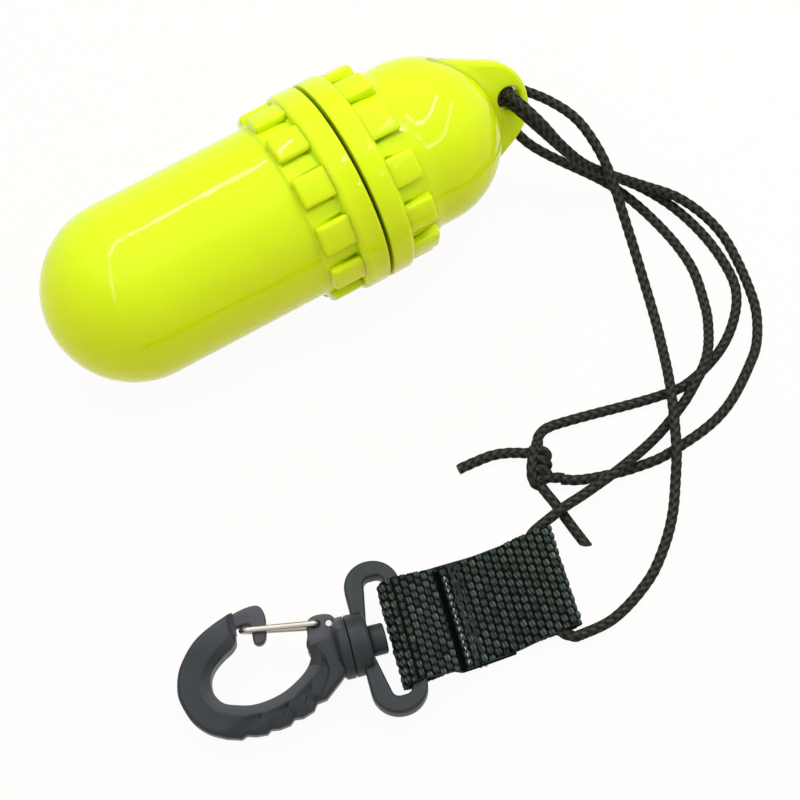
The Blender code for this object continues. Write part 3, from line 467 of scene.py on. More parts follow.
# Lanyard: one length of limp black braid. From its knot it goes through the eyelet, round through
# the webbing's sleeve, back through the eyelet and into the knot again, lying loose on the table.
CORD_RADIUS = 0.0013
CORD_STEP = 0.00026
CORD_SIDES = 24
BRAID_PITCH = 0.0023
BRAID_COLUMNS = 3
BRAID_DEPTH = 0.00017
ROUTE_STEPS = 16
CUT_LENGTH = 3 * CORD_RADIUS
CUT_SIDE = Vector((0.865, -0.502, 0.0))
KNOT_TO_SLEEVE = [
    (0.0307, -0.0286, 0.0032), (0.0323, -0.0264, 0.0028), (0.0353, -0.0252, 0.0022),
    (0.0403, -0.0257, 0.0017), (0.0673, -0.0316, 0.0015), (0.0759, -0.0306, 0.0015),
    (0.0851, -0.0270, 0.0015), (0.0926, -0.0212, 0.0015), (0.0971, -0.0149, 0.0015),
    (0.0989, -0.0069, 0.0015), (0.0990, 0.0030, 0.0015), (0.0967, 0.0128, 0.0024),
    (0.0918, 0.0200, 0.0052), (0.0847, 0.0250, 0.0099), (0.0773, 0.0284, 0.0166),
    (0.0686, 0.0362, 0.0283), (0.0670, 0.0396, 0.0300), (0.0666, 0.0436, 0.0291),
    (0.0668, 0.0481, 0.0264), (0.0672, 0.0504, 0.0235), (0.0678, 0.0504, 0.0200),
    (0.0684, 0.0482, 0.0173), (0.0699, 0.0422, 0.0146), (0.0733, 0.0372, 0.0122),
    (0.0860, 0.0241, 0.0046), (0.0909, 0.0106, 0.0016), (0.0912, -0.0038, 0.0015),
    (0.0873, -0.0162, 0.0016), (0.0839, -0.0222, 0.0024), (0.0797, -0.0276, 0.0040),
    (0.0759, -0.0310, 0.0046), (0.0721, -0.0334, 0.0039), (0.0675, -0.0357, 0.0019),
    (0.0569, -0.0400, 0.0019), (0.0440, -0.0438, 0.0047), (0.0329, -0.0452, 0.0044),
    (0.0269, -0.0458, 0.0046),
]
IN_SLEEVE = [
    (0.0374, 0.0198, 0.0030), (0.0362, 0.0192, 0.0029), (0.0348, 0.0182, 0.0029),
    (0.0337, 0.0167, 0.0029), (0.0332, 0.0144, 0.0029), (0.0332, 0.0080, 0.0029),
    (0.0332, 0.0020, 0.0029), (0.0332, -0.0030, 0.0029), (0.0337, -0.0052, 0.0029),
    (0.0348, -0.0068, 0.0029), (0.0363, -0.0080, 0.0029), (0.0379, -0.0084, 0.0028),
]
SLEEVE_TO_KNOT = [
    (0.0229, -0.0740, 0.0020), (0.0349, -0.0699, 0.0015), (0.0425, -0.0648, 0.0015),
    (0.0489, -0.0588, 0.0015), (0.0539, -0.0524, 0.0023), (0.0583, -0.0458, 0.0045),
    (0.0661, -0.0316, 0.0046), (0.0731, -0.0166, 0.0022), (0.0757, -0.0091, 0.0028),
    (0.0779, -0.0008, 0.0052), (0.0796, 0.0071, 0.0088), (0.0818, 0.0218, 0.0174),
    (0.0819, 0.0290, 0.0206), (0.0809, 0.0364, 0.0226), (0.0781, 0.0438, 0.0229),
    (0.0740, 0.0505, 0.0227), (0.0710, 0.0527, 0.0238), (0.0679, 0.0524, 0.0264),
    (0.0666, 0.0497, 0.0290), (0.0667, 0.0415, 0.0329), (0.0692, 0.0344, 0.0306),
    (0.0723, 0.0299, 0.0252), (0.0771, 0.0259, 0.0187), (0.0839, 0.0228, 0.0128),
    (0.0912, 0.0186, 0.0083), (0.0979, 0.0127, 0.0056), (0.1021, 0.0047, 0.0030),
    (0.1029, -0.0036, 0.0016), (0.0991, -0.0195, 0.0015), (0.0951, -0.0272, 0.0015),
    (0.0894, -0.0334, 0.0015), (0.0739, -0.0425, 0.0015), (0.0565, -0.0451, 0.0015),
    (0.0478, -0.0442, 0.0015), (0.0403, -0.0424, 0.0016), (0.0345, -0.0404, 0.0019),
    (0.0311, -0.0385, 0.0023),
]


def smooth_route(points, spacing):
    """Points at an even spacing on a smooth curve that passes through a route's own points."""
    route = [Vector(p) for p in points]
    route = [2 * route[0] - route[1], *route, 2 * route[-1] - route[-2]]
    fine = []
    for before, start, end, after in zip(route, route[1:], route[2:], route[3:]):
        span = (end - start).length
        leave = (end - before) * span / (span + (start - before).length)
        arrive = (after - start) * span / (span + (after - end).length)
        for i in range(ROUTE_STEPS):
            u = i / ROUTE_STEPS
            fine.append(start * (2 * u**3 - 3 * u**2 + 1) + leave * (u**3 - 2 * u**2 + u)
                        + end * (3 * u**2 - 2 * u**3) + arrive * (u**3 - u**2))
    fine.append(route[-2])
    lengths = [0.0]
    for a, b in zip(fine, fine[1:]):
        lengths.append(lengths[-1] + (b - a).length)
    count = max(2, round(lengths[-1] / spacing))
    even = []
    i = 0
    for k in range(count + 1):
        wanted = lengths[-1] * k / count
        while i < len(fine) - 2 and lengths[i + 1] < wanted:
            i += 1
        even.append(fine[i].lerp(fine[i + 1], (wanted - lengths[i]) / (lengths[i + 1] - lengths[i])))
    return even


def rings(path, sides, radius_at, slant=0.0):
    """Rings of points round a path; radius_at(angle, length) shapes them, slant cuts the end askew."""
    side = (path[1] - path[0]).orthogonal().normalized()
    made = []
    length = 0.0
    for i, place in enumerate(path):
        ahead = (path[min(i + 1, len(path) - 1)] - path[max(i - 1, 0)]).normalized()
        side = (side - ahead * side.dot(ahead)).normalized()
        up = ahead.cross(side)
        length += (place - path[i - 1]).length if i else 0.0
        left = (len(path) - 1 - i) * (path[1] - path[0]).length
        ramp = max(0.0, 1 - left / CUT_LENGTH)
        made.append([])
        for k in range(sides):
            angle = 2 * pi * k / sides
            out = (side * cos(angle) + up * sin(angle)) * radius_at(angle, length)
            made[-1].append(place + out + ahead * (out.dot(CUT_SIDE) * slant * ramp))
    return made


def braid_height(angle, length):
    """Height of the braid from 0 to 1: right- and left-handed strands take turns on top, in columns."""
    column = cos(BRAID_COLUMNS * angle)
    along = 2 * pi * length / BRAID_PITCH
    right = (1 + column) / 2 * (1 + cos(BRAID_COLUMNS * angle + along)) / 2
    left = (1 - column) / 2 * (1 + cos(BRAID_COLUMNS * angle - along)) / 2
    return max(right, left) ** 0.6


def add_braid(shape, path, slant=0.0):
    """Skin a braided cord along a path, with its height kept as an attribute for the finish."""
    relief = shape.verts.layers.float.get("relief") or shape.verts.layers.float.new("relief")
    foot = CORD_RADIUS - BRAID_DEPTH
    sections = rings(path, CORD_SIDES, lambda a, s: foot + BRAID_DEPTH * braid_height(a, s), slant)
    step = (path[1] - path[0]).length
    for i, loop in enumerate(skin(shape, sections)):
        for k, vert in enumerate(loop):
            vert[relief] = braid_height(2 * pi * k / CORD_SIDES, i * step)


bar = Vector(joints["loop_swing"]["pos_m"])
strap_across = Vector(joints["loop_swing"]["axis"])
strap_along = strap_across.cross(Vector((0, 0, 1)))
strap_place = set_at((bar.x, bar.y, 0), strap_along, strap_across, (0, 0, 1))
in_sleeve = [strap_place @ Vector(p) for p in IN_SLEEVE]
lanyard = smooth_route([*KNOT_TO_SLEEVE, *in_sleeve, *SLEEVE_TO_KNOT], CORD_STEP)
into_sleeve, out_of_sleeve = (
    min(range(len(lanyard)), key=lambda i: (lanyard[i] - place).length)
    for place in (in_sleeve[0], in_sleeve[-1]))

black_braid, shader, here = new_finish("black_braid", {
    "Roughness": 0.7, "Specular IOR Level": 0.0, "Coat Roughness": 0.45})
relief = here.node("ShaderNodeAttribute", {"attribute_name": "relief"}, {}, "Fac")
fibres = here.cloud(5200.0, 3.0)
# Painted highlight and shade: the relief attribute colours the strands' crowns lighter and the grooves
# between them darker.
feed(shader, {
    "Base Color": (relief * 0.6 + fibres * 0.4).between((0.004, 0.004, 0.003), (0.036, 0.038, 0.032)),
    "Coat Weight": relief * relief * 0.5,
    "Normal": fibres.bump(0.00008),
})


def lay_cord(name, path, body, nodes):
    shape = bmesh.new()
    add_braid(shape, path)
    piece = new_piece(name, shape, black_braid, body, nodes)
    length = sum((b - a).length for a, b in zip(path, path[1:]))


# Knot: both ends of the lanyard tied together in a few tight wraps, with two cut tails. Places are
# across the knot, up it and off the table, as it lies.
KNOT_PLACE = Vector((0.0280, -0.0331, 0.0))
KNOT_TURN = radians(-30.1)
WRAP_RADIUS = 0.00172
WRAP_PITCH = 0.00255
WRAP_TURNS = 2.8
WRAP_STEPS = 24
WRAP_TOP = 0.0040
WRAP_AXIS = (0.0004, 0.0030)
FRONT_STRAND = [
    (-0.0001, 0.0064, 0.0031), (-0.0004, 0.0046, 0.0040), (-0.0010, 0.0024, 0.0052),
    (-0.0015, 0.0000, 0.0054), (-0.0017, -0.0022, 0.0050), (-0.0014, -0.0040, 0.0040),
    (-0.0004, -0.0047, 0.0026), (0.0008, -0.0042, 0.0017),
]
OUTER_STRAND = [
    (0.0060, -0.0026, 0.0021), (0.0044, -0.0027, 0.0024), (0.0028, -0.0030, 0.0030),
    (0.0012, -0.0034, 0.0036), (-0.0006, -0.0040, 0.0036),
]
LEFT_TAIL = [
    (0.0012, 0.0030, 0.0030), (-0.0010, 0.0033, 0.0032), (-0.0033, 0.0037, 0.0026),
    (-0.0066, 0.0041, 0.0019), (-0.0104, 0.0037, 0.0015), (-0.0144, 0.0021, 0.0014),
    (-0.0186, 0.0000, 0.0014),
]
RIGHT_TAIL = [
    (-0.0002, -0.0036, 0.0026), (0.0012, -0.0058, 0.0022), (0.0040, -0.0094, 0.0015),
    (0.0070, -0.0142, 0.0014), (0.0104, -0.0194, 0.0014),
]
SLANT_CUT = 0.9

knot_place = Matrix.Translation(KNOT_PLACE) @ Matrix.Rotation(KNOT_TURN, 4, "Z")
wraps = []
for i in range(round(WRAP_TURNS * WRAP_STEPS) + 1):
    turn = 2 * pi * i / WRAP_STEPS
    wraps.append((WRAP_AXIS[0] - WRAP_RADIUS * cos(turn), WRAP_TOP - WRAP_PITCH * i / WRAP_STEPS,
                  WRAP_AXIS[1] + WRAP_RADIUS * sin(turn)))
knot_shape = bmesh.new()
for strand in (FRONT_STRAND, OUTER_STRAND, LEFT_TAIL, RIGHT_TAIL, wraps):
    slant = SLANT_CUT if strand is RIGHT_TAIL else 0
    add_braid(knot_shape, smooth_route([knot_place @ Vector(p) for p in strand], CORD_STEP), slant)
knot = new_piece("lanyard_knot_wraps", knot_shape, black_braid, "cap",
                 ["lanyard_knot", "lanyard_left_tail", "lanyard_right_tail"])
lay_cord("lanyard_short_side", lanyard[into_sleeve::-1], "cap",
         ["lanyard_short_strap_run", "lanyard_lower_eye_turn", "lanyard_inner_knot_run"])
lay_cord("lanyard_long_side", lanyard[out_of_sleeve:], "cap",
         ["lanyard_long_strap_run", "lanyard_upper_eye_turn", "lanyard_outer_knot_run"])
lay_cord("lanyard_in_sleeve", lanyard[into_sleeve:out_of_sleeve + 1], "strap", ["lanyard_sleeve_run"])


# Webbing tab: one strip of coarse black nylon webbing, folded round the lanyard at one end and round
# the loop's bar at the other, with both ends overlapped in the middle and some threads frayed out.
WEBBING_WIDTH = 0.0250
WEBBING_THICKNESS = 0.0012
WEBBING_SKEW = radians(9.2)
KNUCKLE_LENGTH = 0.00183
KNUCKLE_WIDTH = 0.00203
KNUCKLE_HEIGHT = 0.00075
KNUCKLE_POWER = 2.5
EDGE_RELIEF = 0.5
BACK_RELIEF = 0.4
# Each fold's place along the tab, its height and its bend radius, from the top end to the hidden one.
STRIP_FOLDS = [
    (0.0114, 0.0053, 0), (0.0165, 0.0043, 0.020), (0.0240, 0.0032, 0.014), (0.0306, 0.0048, 0.009),
    (0.0393, 0.0050, 0.0021), (0.0393, 0.0006, 0.0021), (0.0200, 0.0006, 0.020), (0.0085, 0.0040, 0.020),
    (-0.0043, 0.0058, 0.0029), (-0.0021, 0.0122, 0.0029), (0.0088, 0.0070, 0.0016),
    (0.0108, 0.0042, 0.0010), (0.0165, 0.0030, 0.020), (0.0236, 0.00195, 0),
]
LAYER_LEAN = 0.0013
VALLEY_PLACE = 0.0106
VALLEY_WIDTH = 0.0014
PRESSED_LINES = (-0.0003, 0.0015)
PRESSED_HALF_WIDTH = 0.0002
PRESSED_RELIEF_AND_SHADE = 0.1
FRAY_RADIUS = 0.00013
FRAY_THREADS = 5
FRAY_INSET = Vector((0.0, 0.0012, 0.0001))
FRAY_CURL = Vector((0.0002, 0.0, 0.0002))
FRAY_TOP = 0.0050
# Each fray's place along the tab, its edge, and how far it reaches past that edge.
FRAYS = [(0.0120, 0.0125, 0.0007), (0.0150, -0.0125, -0.0008), (0.0216, -0.0125, -0.0005)]

skew = Matrix.Identity(4)
skew[1][0] = tan(WEBBING_SKEW)
webbing_place = strap_place @ skew


def knuckle(along, across):
    """Height, from 0 to about 1, of the weave's staggered two-ply knuckles at a place on the strip."""
    column = along // KNUCKLE_LENGTH
    row = across / KNUCKLE_WIDTH + (column % 2) / 2
    du = along / KNUCKLE_LENGTH - column - 0.5
    dv = row - row // 1 - 0.5
    stray = noise.noise(Vector((column * 5.3, row // 1 * 3.7, 0.5)))
    dome = 1 - abs(2.0 * du + 0.4 * dv)**KNUCKLE_POWER - abs(1.85 * dv + 0.2 * stray)**KNUCKLE_POWER
    ply = abs(sin(pi * (2.0 * du + 0.5 * dv + 0.3 * stray)))
    return (0.90 + 0.5 * stray) * max(0.0, dome)**0.6 * (0.40 + 0.60 * ply)


def sew(shape, points, radius):
    """Skin a plain round thread through points."""
    path = smooth_route(points, radius)
    skin(shape, rings(path, 8, lambda angle, length: radius))


black_webbing, shader, here = new_finish("black_webbing_weave", {
    "Roughness": 0.6, "Specular IOR Level": 0.0, "Coat Roughness": 0.40})
relief = here.node("ShaderNodeAttribute", {"attribute_name": "relief"}, {}, "Fac")
fibres = here.cloud(4200.0, 3.0)
# Painted highlight and shade: the relief attribute colours the knuckle tops lighter and the gaps between them
# near black.
painted_sheen = relief * relief * (here.cloud(2400.0, 1.0) * 1.6 + 0.1)
feed(shader, {
    "Base Color": (painted_sheen + fibres * 0.1).between((0.001, 0.002, 0.001), (0.064, 0.090, 0.074)),
    "Coat Weight": relief * relief,
    "Normal": fibres.bump(0.00010),
})
strip = smooth_route([(p.x, 0.0, p.y) for p in rounded_outline(STRIP_FOLDS)], KNUCKLE_LENGTH / 9)
strip_step = (strip[1] - strip[0]).length
sleeve_end = max(range(len(strip)), key=lambda i: strip[i].x)
bar_end = min(range(len(strip)), key=lambda i: strip[i].x)
across_count = round(WEBBING_WIDTH / (KNUCKLE_WIDTH / 10))
webbing_sections = []
webbing_heights = []
for i, place in enumerate(strip):
    ahead = (strip[min(i + 1, len(strip) - 1)] - strip[max(i - 1, 0)]).normalized()
    out = Vector((-ahead.z, 0.0, ahead.x))
    under = max(0.0, min(1.0, (i - sleeve_end) / (bar_end - sleeve_end)))
    place = place + Vector((0.0, LAYER_LEAN * sqrt(abs(sin(pi * under))), 0.0))
    height_and_shade = 1.0
    # Painted shade: just before the top layer's cut end the under layer's knuckles sink flat and its colour
    # is taken to the darkest, for the shadow of the step.
    if i > bar_end and place.x > VALLEY_PLACE - VALLEY_WIDTH:
        height_and_shade = max(0.0, min(1.0, (VALLEY_PLACE - place.x) / VALLEY_WIDTH))
    # Painted shade along the two pressed lines: their knuckles sink and their colour goes nearly to the
    # darkest.
    pressed = any(abs(place.x - line) < PRESSED_HALF_WIDTH for line in PRESSED_LINES)
    if pressed and i > bar_end and ahead.x > 0.3:
        height_and_shade = PRESSED_RELIEF_AND_SHADE
    section, heights = [], []
    for k in range(across_count + 1):
        y = WEBBING_WIDTH * (k / across_count - 0.5)
        height = knuckle(i * strip_step, y) * height_and_shade
        level = WEBBING_THICKNESS / 2 + KNUCKLE_HEIGHT * (height - 1)
        section.append(place + out * level + Vector((0, y, 0)))
        heights.append(height if 0 < k < across_count else EDGE_RELIEF)
    for k in range(8, -1, -1):
        section.append(place - out * WEBBING_THICKNESS / 2 + Vector((0, WEBBING_WIDTH * (k / 8 - 0.5), 0)))
        heights.append(BACK_RELIEF)
    webbing_sections.append(section)
    webbing_heights.append(heights)
webbing_shape = bmesh.new()
relief = webbing_shape.verts.layers.float.new("relief")
for loop, heights in zip(skin(webbing_shape, webbing_sections), webbing_heights):
    for vert, height in zip(loop, heights):
        vert[relief] = height
for x, y, reach in FRAYS:
    for number in range(FRAY_THREADS):
        spread = number - 2 + 1.4 * noise.noise(Vector((number * 2.3, x * 900, 0.7)))
        tip = Vector((x + 0.0005 * spread, y + reach, FRAY_TOP - 0.0003 * number))
        start = Vector((x + 0.0002 * spread, y, tip.z)) + FRAY_INSET * Vector((1, -1 if y > 0 else 1, 1))
        sew(webbing_shape, [start, start.lerp(tip, 0.5) + FRAY_CURL, tip], FRAY_RADIUS)
new_piece("webbing_tab", webbing_shape, black_webbing, "strap", ["webbing_strap"],
          webbing_place)


# Seam: a row of pale lock stitches along the cut end and, behind it, a bundle of slack grey threads
# that runs across the tab and sags towards one edge.
SEAM_START = 0.0114
SEAM_TOP = 0.0059
SEAM_FALL = 0.20
STITCH_PITCH = 0.00160
STITCH_LENGTH = 0.00060
STITCH_RADIUS = 0.00014
STITCH_INSET = 0.0008
STITCH_STRAY = 0.00015
BUNDLE_THREADS = 5
BUNDLE_START = 0.0023
BUNDLE_PITCH = 0.00050
BUNDLE_INSET = 0.0004
BUNDLE_STRAY = 0.0010
BUNDLE_SINK = 0.0001
BUNDLE_SAG = 0.0003
THREAD_LIFT = 0.0004
THREAD_RADIUS = 0.00016
THREAD_STEPS = 48

pale_thread, shader, here = new_finish("pale_thread", {"Roughness": 0.6})
feed(shader, {"Base Color": here.cloud(3000.0).between((0.30, 0.32, 0.31), (0.66, 0.68, 0.66))})
stitch_shape = bmesh.new()
for i in range(round(WEBBING_WIDTH / STITCH_PITCH) - 2):
    y = WEBBING_WIDTH / 2 - STITCH_PITCH * (i + 1.6)
    x = SEAM_START + STITCH_INSET + STITCH_STRAY * noise.noise(Vector((i * 1.7, 0.3, 0.8)))
    top = SEAM_TOP - SEAM_FALL * STITCH_INSET
    sunk = top - 2 * STITCH_RADIUS
    sew(stitch_shape, [(x, y, sunk), (x, y - 0.2 * STITCH_LENGTH, top), (x, y - 0.8 * STITCH_LENGTH, top),
                       (x, y - STITCH_LENGTH, sunk)], STITCH_RADIUS)
new_piece("seam_stitches", stitch_shape, pale_thread, "strap", ["seam_thread_1"],
          webbing_place)

grey_thread, shader, here = new_finish("grey_thread_slack", {"Roughness": 0.6, "Specular IOR Level": 0.1})
feed(shader, {"Base Color": here.cloud(900.0).between((0.003, 0.005, 0.006), (0.050, 0.066, 0.076))})
bundle_shape = bmesh.new()
for number in range(BUNDLE_THREADS):
    route = []
    for i in range(THREAD_STEPS + 1):
        y = (WEBBING_WIDTH / 2 - BUNDLE_INSET) * (1 - 2 * i / THREAD_STEPS)
        stray = Vector((number * 3.1, i * 0.26, 0.2))
        off = BUNDLE_START + number * BUNDLE_PITCH + BUNDLE_STRAY * noise.noise(stray)
        lift = THREAD_LIFT * noise.noise(stray + Vector((9.0, 0.0, 4.0))) - BUNDLE_SINK
        sag = BUNDLE_SAG * (i / THREAD_STEPS)**2
        route.append((SEAM_START + off, y, SEAM_TOP - SEAM_FALL * off + lift - sag))
    sew(bundle_shape, route, THREAD_RADIUS)
new_piece("seam_bundle", bundle_shape, grey_thread, "strap", ["seam_thread_2"],
          webbing_place)


# Swivel loop: a flat ring moulded in charcoal nylon that the webbing is folded round, with a bored
# round boss on its near arm for the hook's stem to turn in.
LOOP_HALF_LENGTH = 0.0184
LOOP_HALF_THICKNESS = 0.0019
LOOP_NEAR = -0.0018
LOOP_FAR = 0.0108
LOOP_END_RADIUS = 0.0062
SLOT_NEAR = 0.0018
SLOT_FAR = 0.0060
SLOT_HALF_LENGTH = 0.0144
SLOT_ROUND = 0.0016
LOOP_ROUND = 0.0007
SLOT_BOW = 0.0027
SLOT_BOW_RADIUS = 0.0120
BOSS_RADIUS = 0.0070
BOSS_START = 0.0081
BOSS_END = 0.0126
BOSS_ROUND = 0.0013
BOSS_BORE = 0.0031
BORE_ROUND = 0.0003
SWIVEL_EDGE = 0.0002
SWIVEL_STEPS = 72

loop_along = Vector(joints["hook_swivel"]["axis"])
loop_place = set_at(bar, loop_along, -strap_across, loop_along.cross(-strap_across))
turned_on_axis = Matrix.Rotation(pi / 2, 4, "Y")

charcoal, shader, here = new_finish("charcoal_nylon", {"Specular IOR Level": 0.22})
grain = here.cloud(1600.0, 3.0)
# The base colour mixes the nylon's own uneven tone with painted light, an attribute that pales the hook's
# upper faces where light from the back catches them.
painted_light = here.node("ShaderNodeAttribute", {"attribute_name": "painted_light"}, {}, "Fac")
tone_and_painted_light = here.cloud(120.0, 3.0) * 0.3 + painted_light * 0.7
feed(shader, {
    "Base Color": tone_and_painted_light.between((0.012, 0.018, 0.019), (0.078, 0.081, 0.094)),
    "Roughness": grain * 0.12 + 0.34,
    "Normal": grain.bump(0.000012),
})


def closed_outline(low, high, half_length, radius, bow=0.0, bow_radius=0.0):
    """Outline of a slot or ring between two sides with rounded corners, its far side bowed outwards."""
    middle = (low + high) / 2
    corners = [(middle, half_length, 0), (low, half_length, radius), (low, -half_length, radius),
               (high, -half_length, radius), (high + bow, 0.0, bow_radius), (high, half_length, radius),
               (middle, half_length, 0)]
    return rounded_outline(corners)[:-1]


def thicken(shape, faces, half_thickness, rounding):
    """Give flat faces on z = 0 a thickness evenly about it, and round all their edges."""
    bmesh.ops.translate(shape, verts=list({v for f in faces for v in f.verts}), vec=(0, 0, -half_thickness))
    grown = bmesh.ops.extrude_face_region(shape, geom=faces)["geom"]
    lifted = [item for item in grown if isinstance(item, bmesh.types.BMVert)]
    bmesh.ops.translate(shape, verts=lifted, vec=(0, 0, 2 * half_thickness))
    bmesh.ops.recalc_face_normals(shape, faces=shape.faces)
    shape.normal_update()
    rims = []
    for edge in shape.edges:
        flat = [abs(face.normal.z) > 0.9 for face in edge.link_faces]
        if any(flat) and not all(flat):
            rims.append(edge)
    bmesh.ops.bevel(shape, geom=rims, offset=rounding, segments=4, profile=0.5, affect="EDGES", material=-1,
                    clamp_overlap=False)


def wire_loop(shape, outline):
    """Edges of a closed outline on z = 0."""
    verts = [shape.verts.new((x, y, 0.0)) for x, y in outline]
    return [shape.edges.new((verts[i - 1], verts[i])) for i in range(len(verts))]


loop_shape = bmesh.new()
rims = wire_loop(loop_shape, closed_outline(LOOP_NEAR, LOOP_FAR, LOOP_HALF_LENGTH, LOOP_END_RADIUS))
rims += wire_loop(loop_shape, closed_outline(SLOT_NEAR, SLOT_FAR, SLOT_HALF_LENGTH, SLOT_ROUND, SLOT_BOW,
                                             SLOT_BOW_RADIUS))
filled = bmesh.ops.bridge_loops(loop_shape, edges=rims)["faces"]
thicken(loop_shape, filled, LOOP_HALF_THICKNESS, LOOP_ROUND)
boss_middle = (BOSS_START + BOSS_END) / 2
boss_shape = spun(rounded_outline([
    (BOSS_BORE, boss_middle, 0), (BOSS_BORE, BOSS_END, BORE_ROUND), (BOSS_RADIUS, BOSS_END, SWIVEL_EDGE),
    (BOSS_RADIUS, BOSS_START, BOSS_ROUND), (BOSS_BORE, BOSS_START, BORE_ROUND),
    (BOSS_BORE, boss_middle, 0)]), SWIVEL_STEPS)
move(boss_shape, turned_on_axis)
join(loop_shape, boss_shape)
new_piece("swivel_loop_ring", loop_shape, charcoal, "loop", ["swivel_loop"], loop_place)


# Snap hook: a thick curved arm in the same charcoal nylon, with a broad inner bevel, slanted grip
# leaves, a thin nose and ear for the gate, and a headed stem that is snapped through the boss.
HOOK_HALF_THICKNESS = 0.00425
HOOK_CENTRE = Vector((0.0330, -0.0005))
HOOK_BACK = [
    (0.0330, -0.0144), (0.0362, -0.0135), (0.0419, -0.0113), (0.0457, -0.0091), (0.0488, -0.0059),
    (0.0507, -0.0028), (0.0517, 0.0015), (0.0511, 0.0051), (0.0496, 0.0085), (0.0470, 0.0113),
    (0.0436, 0.0132),
]
HOOK_GRIP = [
    (0.0404, 0.0142), (0.0391, 0.0137), (0.0372, 0.0143), (0.0347, 0.0145), (0.0338, 0.0138),
    (0.0320, 0.0141), (0.0294, 0.0138), (0.0283, 0.0128), (0.0264, 0.0130), (0.0237, 0.0121),
    (0.0227, 0.0107), (0.0204, 0.0104), (0.0164, 0.0073), (0.0146, 0.0057), (0.0140, -0.0036),
]
GRIP_NOTCHES = (1, 4, 7, 10)
HOOK_INNER = [
    (0.0336, -0.0099), (0.0352, -0.0097), (0.0364, -0.0088), (0.0368, -0.0068), (0.0380, -0.0055),
    (0.0401, -0.0043), (0.0423, -0.0027), (0.0437, -0.0009), (0.0442, 0.0012), (0.0439, 0.0034),
    (0.0424, 0.0056), (0.0395, 0.0068), (0.0366, 0.0075), (0.0330, 0.0074), (0.0292, 0.0065),
    (0.0256, 0.0047), (0.0230, 0.0027), (0.0216, 0.0004), (0.0219, -0.0017), (0.0208, -0.0032),
    (0.0180, -0.0036),
]
HOOK_START = radians(-84.0)
HOOK_END = radians(187.0)
BEVEL_WIDTH = 0.0023
BEVEL_DEPTH = 0.0010
OPENING_DRAFT = 0.0003
OPENING_EDGE = [(0.0, -0.0006), (0.0001, -0.0002), (0.0004, 0.0)]
BEVEL_EDGE = (-0.0002, -0.0001)
BACK_ROUND = 0.0012
BACK_DRAFT = 0.0010
LEAF_DROP = 0.0007
LEAF_LEANS = (radians(14), radians(31), radians(42), radians(46))
LEAF_STEP = radians(3.0)
FIRST_LEAF = radians(20)
LAST_LEAF = radians(60)
GRIP_START = radians(45)
COARSE_STEP = radians(1.25)
FINE_STEP = radians(0.75)
# A point on each cut that ends the arm at the nose, and the way it faces, as (x, z).
NOSE_CUTS = [
    ((0.0364, 0.0023), (-0.81, 0.59)), ((0.0364, -0.0023), (-0.81, -0.59)), ((0.0362, 0.0), (-1, 0)),
]
NOSE_OUTLINE = [
    (0.0385, -0.0127), (0.0337, -0.0139), (0.0308, -0.0140), (0.0297, -0.0132), (0.0292, -0.0112),
    (0.0294, -0.0095), (0.0301, -0.0064), (0.0310, -0.0053), (0.0322, -0.0052), (0.0330, -0.0060),
    (0.0331, -0.0099), (0.0366, -0.0099), (0.0385, -0.0080),
]
NOSE_HALF_THICKNESS = 0.0017
EAR_OUTLINE = [
    (0.0143, -0.0030), (0.0144, -0.0066), (0.0152, -0.0079), (0.0172, -0.0085), (0.0194, -0.0084),
    (0.0207, -0.0074), (0.0212, -0.0047), (0.0219, -0.0019), (0.0190, 0.0019), (0.0160, 0.0009),
]
EAR_HALF_THICKNESS = 0.0016
EAR_SLOT = (0.0017, 0.0040)
EAR_SLOT_HALF = 0.0009
EAR_SLOT_OFF = -0.0005
PLATE_ROUND = 0.0007
STEM_RADIUS = 0.0028
HEAD_RADIUS = 0.0035
HEAD_START = 0.0045
HEAD_END = 0.0079
COLLAR_NEAR = 0.0128
COLLAR_FAR = 0.0149
COLLAR_END = 0.0158
COLLAR_ROUND = 0.0008
STEM_ROUND = 0.0006
WIRE_RADIUS = 0.0007
WIRE_HOLE = 1.3 * WIRE_RADIUS
HOLE_REACH = 0.01
PIN_DEPTH = 0.0012
PLATES_START = 0.0142
PLATES_END = 0.0365
PLATES_SIDE = -0.0035
BACK_PAINTED_LIGHT = 0.45
PAINTED_LIGHT_TURN = radians(-25)
PAINTED_LIGHT_END = radians(165)
BACK_FADE = radians(35)
BEVEL_FADE = radians(60)

hook_up = Vector(joints["gate_open"]["axis"])
hook_place = set_at(bar, loop_along, hook_up.cross(loop_along), hook_up)
gate_pivot = hook_place.inverted() @ Vector(joints["gate_open"]["pos_m"])


def flat_route(points, spacing):
    """Points at an even spacing on a smooth curve through points on z = 0."""
    return [p.xy for p in smooth_route([(x, y, 0.0) for x, y in points], spacing)]


hook_back = [p - HOOK_CENTRE for p in flat_route(HOOK_BACK, spacing=0.0008)]
hook_back += [Vector(p) - HOOK_CENTRE for p in HOOK_GRIP]
hook_inner = [p - HOOK_CENTRE for p in flat_route(HOOK_INNER, spacing=0.0008)]
notches = [hook_back[n - len(HOOK_GRIP)] for n in GRIP_NOTCHES]
notch_angles = [atan2(notch.y, notch.x) for notch in notches]


def outline_reach(outline, angle):
    """Distance from the hook's centre to an outline, in a direction."""
    ray = Vector((cos(angle), sin(angle)))
    hits = [geometry.intersect_line_line_2d((0, 0), ray * 0.05, a, b) for a, b in zip(outline, outline[1:])]
    return min(hit.length for hit in hits if hit)


